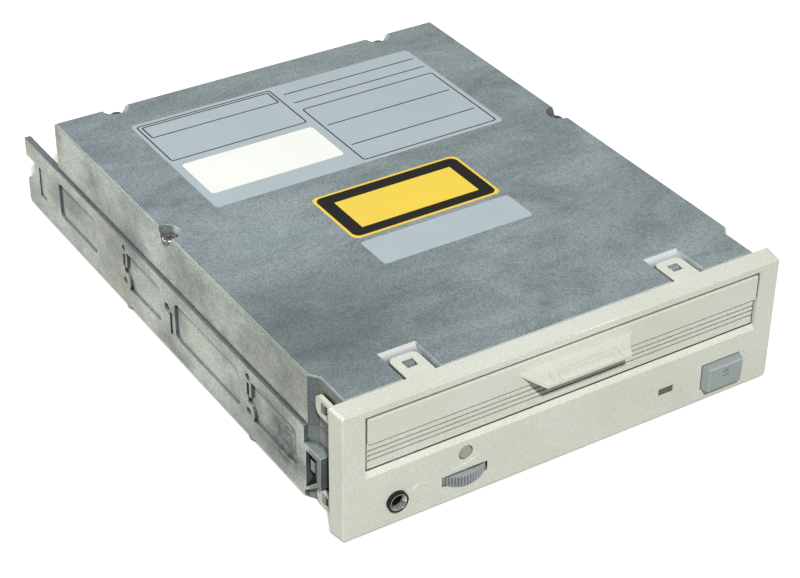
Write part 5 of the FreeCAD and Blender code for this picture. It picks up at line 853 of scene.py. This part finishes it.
def extruded(piece: Piece, step: Point) -> Piece:
    """Extrude a flat piece to a closed one.

    Args:
        piece: the flat piece.
        step: way that its copy goes, in mm.

    Returns:
        The piece.
    """
    with editing(piece):
        bpy.ops.mesh.extrude_region_move(TRANSFORM_OT_translate={"value": tuple(Vector(step) * MM)})
        bpy.ops.mesh.select_all(action="SELECT")
        bpy.ops.mesh.normals_make_consistent(inside=False)
    return piece


def merged(name: str, pieces: list[Piece]) -> Piece:
    """Join pieces into one.

    Args:
        name: name of the joined piece.
        pieces: the pieces.

    Returns:
        The joined piece.
    """
    bpy.ops.object.select_all(action="DESELECT")
    for piece in pieces:
        piece.select_set(True)
    bpy.context.view_layer.objects.active = pieces[0]
    bpy.ops.object.join()
    pieces[0].name = name
    pieces[0].data.name = name
    return pieces[0]


def modified(piece: Piece, kind: str, **settings: object) -> Piece:
    """Apply a modifier to a piece.

    Args:
        piece: the piece.
        kind: Blender's type name of the modifier.
        settings: properties of the modifier.

    Returns:
        The piece.
    """
    bpy.ops.object.select_all(action="DESELECT")
    piece.select_set(True)
    bpy.context.view_layer.objects.active = piece
    modifier = piece.modifiers.new(kind.title(), kind)
    for name, value in settings.items():
        setattr(modifier, name, value)
    bpy.ops.object.modifier_apply(modifier=modifier.name)
    return piece


@dataclass
class Plate:
    """Bare label plate, or a print on it, of thin film.

    Attributes:
        name: name of the piece.
        x: its two ends across.
        y: its two ends along.
        corner: radius of its corners.
        base: height that it lies on.
        thick: thickness of the film or ink.
    """

    name: str
    x: Pair
    y: Pair
    corner: float
    base: float
    thick: float

    def sheet(self) -> Piece:
        """Add the flat sheet with rounded corners.

        Returns:
            The sheet.
        """
        bpy.ops.object.select_all(action="DESELECT")
        size = ((self.x[1] - self.x[0]) * MM, (self.y[1] - self.y[0]) * MM, 1)
        bpy.ops.mesh.primitive_plane_add(size=1, location=place(sum(self.x) / 2, sum(self.y) / 2, self.base))
        bpy.context.active_object.scale = size
        piece = begun(self.name)
        with editing(piece):
            bpy.ops.mesh.bevel(offset=self.corner * MM, segments=6, affect="VERTICES")
        return piece

    def whole(self) -> Piece:
        """Return the whole plate."""
        return extruded(self.sheet(), (0, 0, self.thick))

    def framed(self, width: float) -> Piece:
        """Return only a border of this width along the plate's edge."""
        return extruded(bordered(self.sheet(), width), (0, 0, self.thick))


@dataclass
class Front:
    """Bezel, door and controls with their moulded marks.

    Attributes:
        proud: height of a moulded mark above its face.
        sunk: depth of a mark in its face.
        ear_mark: centre of the headphone mark on the bezel.
        ear_radius: middle radius of its headband.
        ear_cut: the headband ends this far below the centre.
        pad_inset: middle of an ear pad inwards of the headband.
        pad_half: half the width of an ear pad.
        pad_drop: lower and upper end of an ear pad below the centre.
        pad_round: radius of its edges.
        wedge: ends of the volume wedge across.
        wedge_foot: lower edge of the wedge.
        wedge_rise: its height at the thick end.
        wedge_taper: shares of that height that the thin end lacks below and above.
        wedge_round: radius of its edges.
        button_face: face of the eject button, before the bezel's face.
        button_mark: centre of the eject mark.
        line: height of its lines above the button's face.
        bar_half: half the length of its bar.
        bar_drop: lower and upper edge of the bar below the centre.
        roof_radius: radius round its triangle before the stretch.
        roof_rise: middle of that radius above the centre.
        roof_stretch: stretch of the triangle, flat and wide.
        roof_line: width of the triangle's line.
    """

    proud: float = 0.22
    sunk: float = 0.02
    ear_mark: Pair = (-49.5, 8.4)
    ear_radius: float = 2.3
    ear_cut: float = 1.2
    pad_inset: float = 0.5
    pad_half: float = 0.4
    pad_drop: Pair = (2.0, 0.6)
    pad_round: float = 0.06
    wedge: Pair = (-39.3, -30.2)
    wedge_foot: float = 9.9
    wedge_rise: float = 3.1
    wedge_taper: Pair = (0.2, 0.7)
    wedge_round: float = 0.05
    button_face: float = -3.0
    button_mark: Pair = (54.9, 10.6)
    line: float = 0.08
    bar_half: float = 1.3
    bar_drop: Pair = (1.2, 0.9)
    roof_radius: float = 1.35
    roof_rise: float = 0.35
    roof_stretch: Point = (1.15, 1.0, 0.62)
    roof_line: float = 0.24

    def build(self) -> None:
        """Dress the nodes of the front and add the marks."""
        dress(Look.CREAM_ABS, "bezel", "caddy_door")
        dress(Look.GREY_ABS, "eject_button")
        dress(Look.WORN_ABS, "volume_wheel")
        dress(Look.STONE_ABS, "access_plug")
        dress(Look.BLACK_NYLON, "headphone_jack", "volume_pot", "eject_switch", "switch_plunger")
        dress(Look.NICKEL_STEEL, "door_hinge_rod", "door_spring")
        dress(Look.DARK_NICKEL, "jack_ring")
        dress(Look.SMOKED_ACRYLIC, "led_lens")
        dress(Look.AMBER_EPOXY, "led_lamp")
        dress(Look.GREEN_BOARD, "front_board")
        dress(Look.GREY_VINYL, "front_ribbon")
        mount(self.headphones(), Look.CREAM_ABS, "drive")
        mount(self.volume_wedge(), Look.CREAM_ABS, "drive")
        # The eject mark's dark grey is painted shade along its lines.
        mount(self.eject_symbol(), Look.GREY_INK, "eject_button")

    def headphones(self) -> Piece:
        """Model the raised headphone mark: part of a ring as headband, and two ear pads.

        Returns:
            The mark.
        """
        x, z = self.ear_mark
        bpy.ops.object.select_all(action="DESELECT")
        bpy.ops.mesh.primitive_torus_add(major_radius=self.ear_radius * MM, minor_radius=self.proud * MM,
                                         major_segments=48, minor_segments=8, location=place(x, 0, z),
                                         rotation=UPRIGHT)
        band = begun("ear_band")
        cut = place(x, 0, z - self.ear_cut)
        with editing(band):
            bpy.ops.mesh.bisect(plane_co=cut, plane_no=UP, use_fill=True, clear_inner=True)
        pads = []
        low, high = self.pad_drop
        for side in (-1, 1):
            middle = x + side * (self.ear_radius - self.pad_inset)
            pad = box("ear_pad", (middle - self.pad_half, middle + self.pad_half), (-self.proud, self.sunk),
                      (z - low, z - high))
            pads.append(modified(pad, "BEVEL", width=self.pad_round * MM, segments=2))
        return merged("headphone_mark", [band, *pads])

    def volume_wedge(self) -> Piece:
        """Model the raised wedge above the volume wheel.

        Returns:
            The wedge.
        """
        thin_end = self.wedge[0] + NEAR
        foot = self.wedge_foot
        middle = foot + self.wedge_rise / 2
        below, above = self.wedge_taper
        wedge = box("volume_mark", self.wedge, (-self.proud, self.sunk), (foot, foot + self.wedge_rise))
        with editing(wedge, lambda point: point.x < thin_end and point.z < middle):
            bpy.ops.transform.translate(value=(0, 0, below * self.wedge_rise * MM))
        with editing(wedge, lambda point: point.x < thin_end and point.z > middle):
            bpy.ops.transform.translate(value=(0, 0, -above * self.wedge_rise * MM))
        return modified(wedge, "BEVEL", width=self.wedge_round * MM, segments=2)

    def eject_symbol(self) -> Piece:
        """Model the raised eject mark: the outline of a triangle over a bar.

        Returns:
            The mark.
        """
        x, z = self.button_mark
        low, high = self.bar_drop
        under = self.button_face + self.sunk
        bar = box("eject_bar", (x - self.bar_half, x + self.bar_half), (self.button_face - self.line, under),
                  (z - low, z - high))
        bpy.ops.object.select_all(action="DESELECT")
        bpy.ops.mesh.primitive_circle_add(vertices=3, radius=self.roof_radius * MM, fill_type="NGON",
                                          location=place(x, under, z + self.roof_rise), rotation=UPRIGHT)
        roof = begun("eject_roof")
        with editing(roof):
            bpy.ops.transform.resize(value=self.roof_stretch)
        extruded(bordered(roof, self.roof_line), (0, -(self.line + self.sunk), 0))
        return merged("eject_mark", [bar, roof])


@dataclass
class Case:
    """Cast chassis and cover with label plates and cross-recess screws.

    Attributes:
        top: height of the cover's top.
        film: thickness of a label film.
        ink: thickness of a print on it.
        main_label: outline of the large pale plate.
        code_label: outline of the white plate on it.
        notice_rim: outline of the yellow plate.
        notice_band: outline of the black print on it.
        notice_field: outline of the yellow print within that.
        small_label: outline of the small pale plate.
        rule: width of a printed rule.
        rules: outlines of the ruled boxes on the large plate.
        strokes: ends across, and place along, of its single rules.
        stroke_corner: radius of the corners of a single rule.
        head_radius: radius of a screw head.
        head_rise: height of a screw head.
        head_round: radius of its upper edge.
        recess: half length, half width and depth of its cross recess.
        recess_taper: size of the recess at its bottom, as a share.
        recess_start: height above the head from which the recess narrows.
        shank_radius: radius of a screw's shank.
        shank_length: length of the shank.
        cover_heads: places of the cover screws, across and along.
        cover_seat: height under the heads of the cover screws.
    """

    top: float = 42.1
    film: float = 0.06
    ink: float = 0.03
    main_label: Outline = ((-52.0, 52.6), (109.5, 168.2), 1.6)
    code_label: Outline = ((-49.2, -2.5), (117.4, 138.0), 1.3)
    notice_rim: Outline = ((-25.9, 26.3), (72.7, 99.0), 2.2)
    notice_band: Outline = ((-25.0, 25.4), (73.6, 98.1), 2.4)
    notice_field: Outline = ((-20.5, 21.0), (77.4, 93.6), 0.15)
    small_label: Outline = ((-25.5, 26.8), (56.8, 70.5), 1.2)
    rule: float = 0.44
    rules: tuple[Outline, ...] = (((-50.8, -2.0), (141.3, 166.7), 1.2), ((-49.4, -3.2), (157.6, 165.5), 0.8),
                                  ((0.6, 50.9), (111.0, 149.8), 1.2))
    strokes: tuple[tuple[Pair, float], ...] = (((0.6, 50.9), 161.3), ((0.6, 50.9), 154.6),
                                               ((2.4, 49.0), 136.1), ((2.4, 49.0), 121.2))
    stroke_corner: float = 0.1
    head_radius: float = 2.2
    head_rise: float = 1.8
    head_round: float = 0.6
    recess: Point = (1.35, 0.3, 0.9)
    recess_taper: float = 0.6
    recess_start: float = 1.0
    shank_radius: float = 1.22
    shank_length: float = 20.0
    cover_heads: tuple[Pair, ...] = ((-70.2, 105.0), (70.2, 105.0), (-50.6, 181.3), (49.4, 181.3))
    cover_seat: float = 38.4

    def build(self) -> None:
        """Dress the nodes of the case, and add the plates and the screws."""
        dress(Look.CAST_ALLOY, "chassis", "top_cover")
        dress(Look.ZINC_SHEET, "bottom_plate")
        dress(Look.DARK_NICKEL, "ground_spring")
        dress(Look.NICKEL_STEEL, "bottom_screws", "board_screws", "damper_screws")
        self.plates()
        self.screws()

    def plates(self) -> None:
        """Lay the bare label plates and their rules on the cover."""
        film, ink = self.film, self.ink
        on_film = self.top + film
        for name, outline, base, thick, look in (
                ("main_label", self.main_label, self.top, film, Look.PALE_FILM),
                ("code_label", self.code_label, on_film, film, Look.WHITE_FILM),
                ("notice_rim", self.notice_rim, self.top, film, Look.YELLOW_FILM),
                ("notice_band", self.notice_band, on_film, ink, Look.BLACK_INK),
                ("notice_field", self.notice_field, on_film + ink, ink, Look.YELLOW_FILM),
                ("small_label", self.small_label, self.top, film, Look.PALE_FILM)):
            mount(Plate(name, *outline, base, thick).whole(), look, "drive")
        rules = [Plate(f"rule_{number}", *outline, on_film, ink).framed(self.rule)
                 for number, outline in enumerate(self.rules)]
        rules += [Plate(f"stroke_{number}", x, (y, y + self.rule), self.stroke_corner, on_film, ink).whole()
                  for number, (x, y) in enumerate(self.strokes)]
        mount(merged("label_rules", rules), Look.BLACK_INK, "drive")

    def screws(self) -> None:
        """Put one cross-recess pan head with its shank at each cover screw."""
        first = self.screw("cover_screw_1")
        heads = [first]
        for number, spot in enumerate(self.cover_heads[1:], start=2):
            copy = bpy.data.objects.new(f"cover_screw_{number}", first.data.copy())
            bpy.context.scene.collection.objects.link(copy)
            step = place(*spot, 0) - place(*self.cover_heads[0], 0)
            copy.data.transform(Matrix.Translation(step))
            heads.append(copy)
        for head in heads:
            mount(head, Look.NICKEL_STEEL, "drive")
            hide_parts("cover_screws")

    def screw(self, name: str) -> Piece:
        """Model a pan head screw at the first place: domed head, cross recess and shank.

        Args:
            name: name of the piece.

        Returns:
            The screw.
        """
        x, y = self.cover_heads[0]
        top = self.cover_seat + self.head_rise
        bpy.ops.object.select_all(action="DESELECT")
        bpy.ops.mesh.primitive_cylinder_add(vertices=40, radius=self.head_radius * MM,
                                            depth=self.head_rise * MM,
                                            location=place(x, y, self.cover_seat + self.head_rise / 2))
        head = begun(name)
        with editing(head, lambda point: point.z > top - NEAR):
            bpy.ops.mesh.bevel(offset=self.head_round * MM, segments=5)
        long, half, deep = self.recess
        for across, along in ((long, half), (half, long)):
            tool = box("recess", (x - across, x + across), (y - along, y + along),
                       (top - deep, top + self.recess_start))
            with editing(tool, lambda point: point.z < top):
                bpy.ops.transform.resize(value=(self.recess_taper, self.recess_taper, 1))
            modified(head, "BOOLEAN", operation="DIFFERENCE", object=tool)
            bpy.data.objects.remove(tool)
        bpy.ops.object.select_all(action="DESELECT")
        bpy.ops.mesh.primitive_cylinder_add(vertices=24, radius=self.shank_radius * MM,
                                            depth=self.shank_length * MM,
                                            location=place(x, y, self.cover_seat - self.shank_length / 2))
        piece = merged(name, [head, begun("shank")])
        with editing(piece):
            bpy.ops.mesh.normals_make_consistent(inside=False)
        return piece


@dataclass
class Rear:
    """Main board and the sockets at the rear."""

    def build(self) -> None:
        """Dress the nodes of the rear."""
        dress(Look.GREEN_BOARD, "main_board")
        dress(Look.BLACK_NYLON, "board_chips", "interface_socket", "audio_socket", "jumper_block")
        dress(Look.WHITE_ACETAL, "power_socket")
        dress(Look.GILT_PIN, "interface_pins", "audio_pins")
        dress(Look.NICKEL_STEEL, "power_pins")


@dataclass
class Mechanism:
    """Deck, spindle, pickup, caddy holder and loading gears."""

    def build(self) -> None:
        """Dress the nodes of the mechanism."""
        dress(Look.ZINC_SHEET, "mech_deck", "caddy_holder")
        dress(Look.RUBBER, "deck_dampers", "drive_belt")
        dress(Look.NICKEL_STEEL, "guide_rods", "lead_screw", "holder_pins", "gear_axles", "spindle_motor",
              "sled_motor", "loading_motor")
        dress(Look.TURNED_ALLOY, "turntable")
        dress(Look.FERRITE, "turntable_magnet")
        dress(Look.BLACK_NYLON, "pickup_sled")
        dress(Look.LENS_GLASS, "objective_lens")
        dress(Look.WHITE_ACETAL, "cam_slide", "rack_gear", "pulley_gear", "motor_pulley")


@dataclass(frozen=True)
class Lamp:
    """Square soft light.

    Attributes:
        name: name of the light.
        spot: its place.
        aim: point that it faces.
        size: length of its sides.
        power: its power in watts.
        colour: its colour.
    """

    name: str
    spot: Point
    aim: Point
    size: float
    power: float
    colour: str = "#fffefa"

    def hang(self) -> None:
        """Add the light to the scene."""
        lamp = bpy.data.lights.new(self.name, "AREA")
        lamp.size = self.size * MM
        lamp.energy = self.power
        lamp.color = linear(self.colour)[:3]
        holder = bpy.data.objects.new(self.name, lamp)
        holder.location = place(*self.spot)
        holder.rotation_euler = (place(*self.spot) - place(*self.aim)).to_track_quat("Z", "Y").to_euler()
        bpy.context.scene.collection.objects.link(holder)


@dataclass
class Studio:
    """Pale floor, soft lights and the camera of the photograph.

    Attributes:
        lamps: the lights.
        floor_size: length of the floor's sides.
        floor_drop: gap between the drive and the floor.
        floor_cloud: size of the faint clouds on the floor.
        floor_tints: the two colours of these clouds.
        floor_bounce: colour of the light that the floor throws back.
        glow_reach: distances between which the floor turns to white.
        glow: how much the floor shines to the camera at these distances.
        sky_tint: colour of the surroundings.
        sky_strength: their brightness as a light, and as the camera sees them.
        aim: point that the camera looks at.
        distance: camera from that point.
        azimuth: camera round the drive from its front, in degrees.
        elevation: camera above the floor, in degrees.
        roll: turn of the camera about its own axis, in degrees.
        lens: focal length of the camera.
        sensor: width of its sensor.
        clip: nearest and furthest distance that it shows.
    """

    lamps: tuple[Lamp, ...] = (
        Lamp("key", (-790, -1490, 1780), (0, 40, 20), 120, 63.0, "#fffefc"),
        Lamp("left_fill", (-820, 300, 420), (-40, 100, 20), 700, 2.2),
        Lamp("rear_fill", (-240, 900, 190), (0, 200, 25), 600, 2.0),
        Lamp("right_fill", (900, 40, 200), (70, 100, 20), 600, 1.6),
        Lamp("overhead", (340, 130, 960), (0, 110, 0), 900, 0.5, "#f6faff"))
    floor_size: float = 6000.0
    floor_drop: float = 0.2
    floor_cloud: float = 250.0
    floor_tints: tuple[str, str] = ("#f6f6f4", "#f2f2f0")
    floor_bounce: str = "#8e8d89"
    glow_reach: Pair = (300.0, 800.0)
    glow: Pair = (0.3, 1.0)
    sky_tint: str = "#f7f8fa"
    sky_strength: Pair = (0.22, 1.1)
    aim: Point = (5.754, 97.397, 0.0)
    distance: float = 649.67
    azimuth: float = -32.646
    elevation: float = 33.411
    roll: float = 0.646
    lens: float = 91.61
    sensor: float = 36.0
    clip: Pair = (10.0, 20000.0)

    def build(self) -> None:
        """Set the floor, the lights and the camera."""
        bpy.context.scene.view_settings.view_transform = "Standard"
        self.floor()
        for lamp in self.lamps:
            lamp.hang()
        self.sky()
        self.camera()

    def floor(self) -> None:
        """Lay a wide pale floor."""
        bpy.ops.object.select_all(action="DESELECT")
        bpy.ops.mesh.primitive_plane_add(size=self.floor_size * MM, location=(0, 0, -self.floor_drop * MM))
        floor = begun("floor")
        canvas = Canvas(bpy.data.materials.new("pale_floor"))
        add = canvas.add
        cloud = add(Kind.NOISE, {"Vector": canvas.coords, "Scale": per(self.floor_cloud), "Detail": 3.0})
        first, second = (linear(tint) for tint in self.floor_tints)
        tint = add(Kind.MIX, {"Factor": cloud, "A": first, "B": second}, **BLEND)
        # The floor shows white but throws back only a little light, so the drive keeps its dark facets.
        seen = add(Kind.RAYS).outputs["Is Camera Ray"]
        skin = add(Kind.MIX, {"Factor": seen, "A": linear(self.floor_bounce), "B": tint}, **BLEND)
        far = add(Kind.VECTOR, {0: canvas.coords}, operation="LENGTH")
        start, end = self.glow_reach
        least, most = self.glow
        white = add(Kind.RANGE, {"Value": far, "From Min": start * MM, "From Max": end * MM,
                                 "To Min": least, "To Max": most})
        shine = add(Kind.MATH, {0: seen, 1: white}, operation="MULTIPLY")
        canvas.fill(canvas.shader, {"Base Color": skin, "Roughness": 0.8, "Emission Color": linear("#ffffff"),
                                    "Emission Strength": shine})
        floor.data.materials.append(canvas.owner)

    def sky(self) -> None:
        """Fill the surroundings with even, weak light that shows as white."""
        canvas = Canvas(bpy.data.worlds.new("white_room"), "Background")
        add = canvas.add
        seen = add(Kind.RAYS).outputs["Is Camera Ray"]
        weak, white = self.sky_strength
        strength = add(Kind.RANGE, {"Value": seen, "To Min": weak, "To Max": white})
        canvas.fill(canvas.shader, {"Color": linear(self.sky_tint), "Strength": strength})
        bpy.context.scene.world = canvas.owner

    def camera(self) -> None:
        """Put the camera where the photograph was taken from."""
        turn, tilt, roll = (math.radians(angle) for angle in (self.azimuth, self.elevation, self.roll))
        back = Vector((math.sin(turn) * math.cos(tilt), -math.cos(turn) * math.cos(tilt), math.sin(tilt)))
        level = Vector((math.cos(turn), math.sin(turn), 0))
        rise = back.cross(level)
        right = level * math.cos(roll) + rise * math.sin(roll)
        up = rise * math.cos(roll) - level * math.sin(roll)
        data = bpy.data.cameras.new("photo_camera")
        data.lens = self.lens
        data.sensor_width = self.sensor
        data.sensor_fit = "HORIZONTAL"
        data.clip_start, data.clip_end = (distance * MM for distance in self.clip)
        camera = bpy.data.objects.new("photo_camera", data)
        turned = Matrix((right, up, back)).transposed().to_4x4()
        camera.matrix_world = Matrix.Translation(place(*self.aim) + back * self.distance * MM) @ turned
        bpy.context.scene.collection.objects.link(camera)
        bpy.context.scene.camera = camera


def main() -> None:
    """Build the sub-assemblies in order, then the studio."""
    logging.basicConfig(level=logging.INFO, format="%(name)s: %(message)s")
    for part in (Front(), Case(), Rear(), Mechanism(), Studio()):
        part.build()
        log.info("%s done", type(part).__name__)


if __name__ == "__main__":
    main()
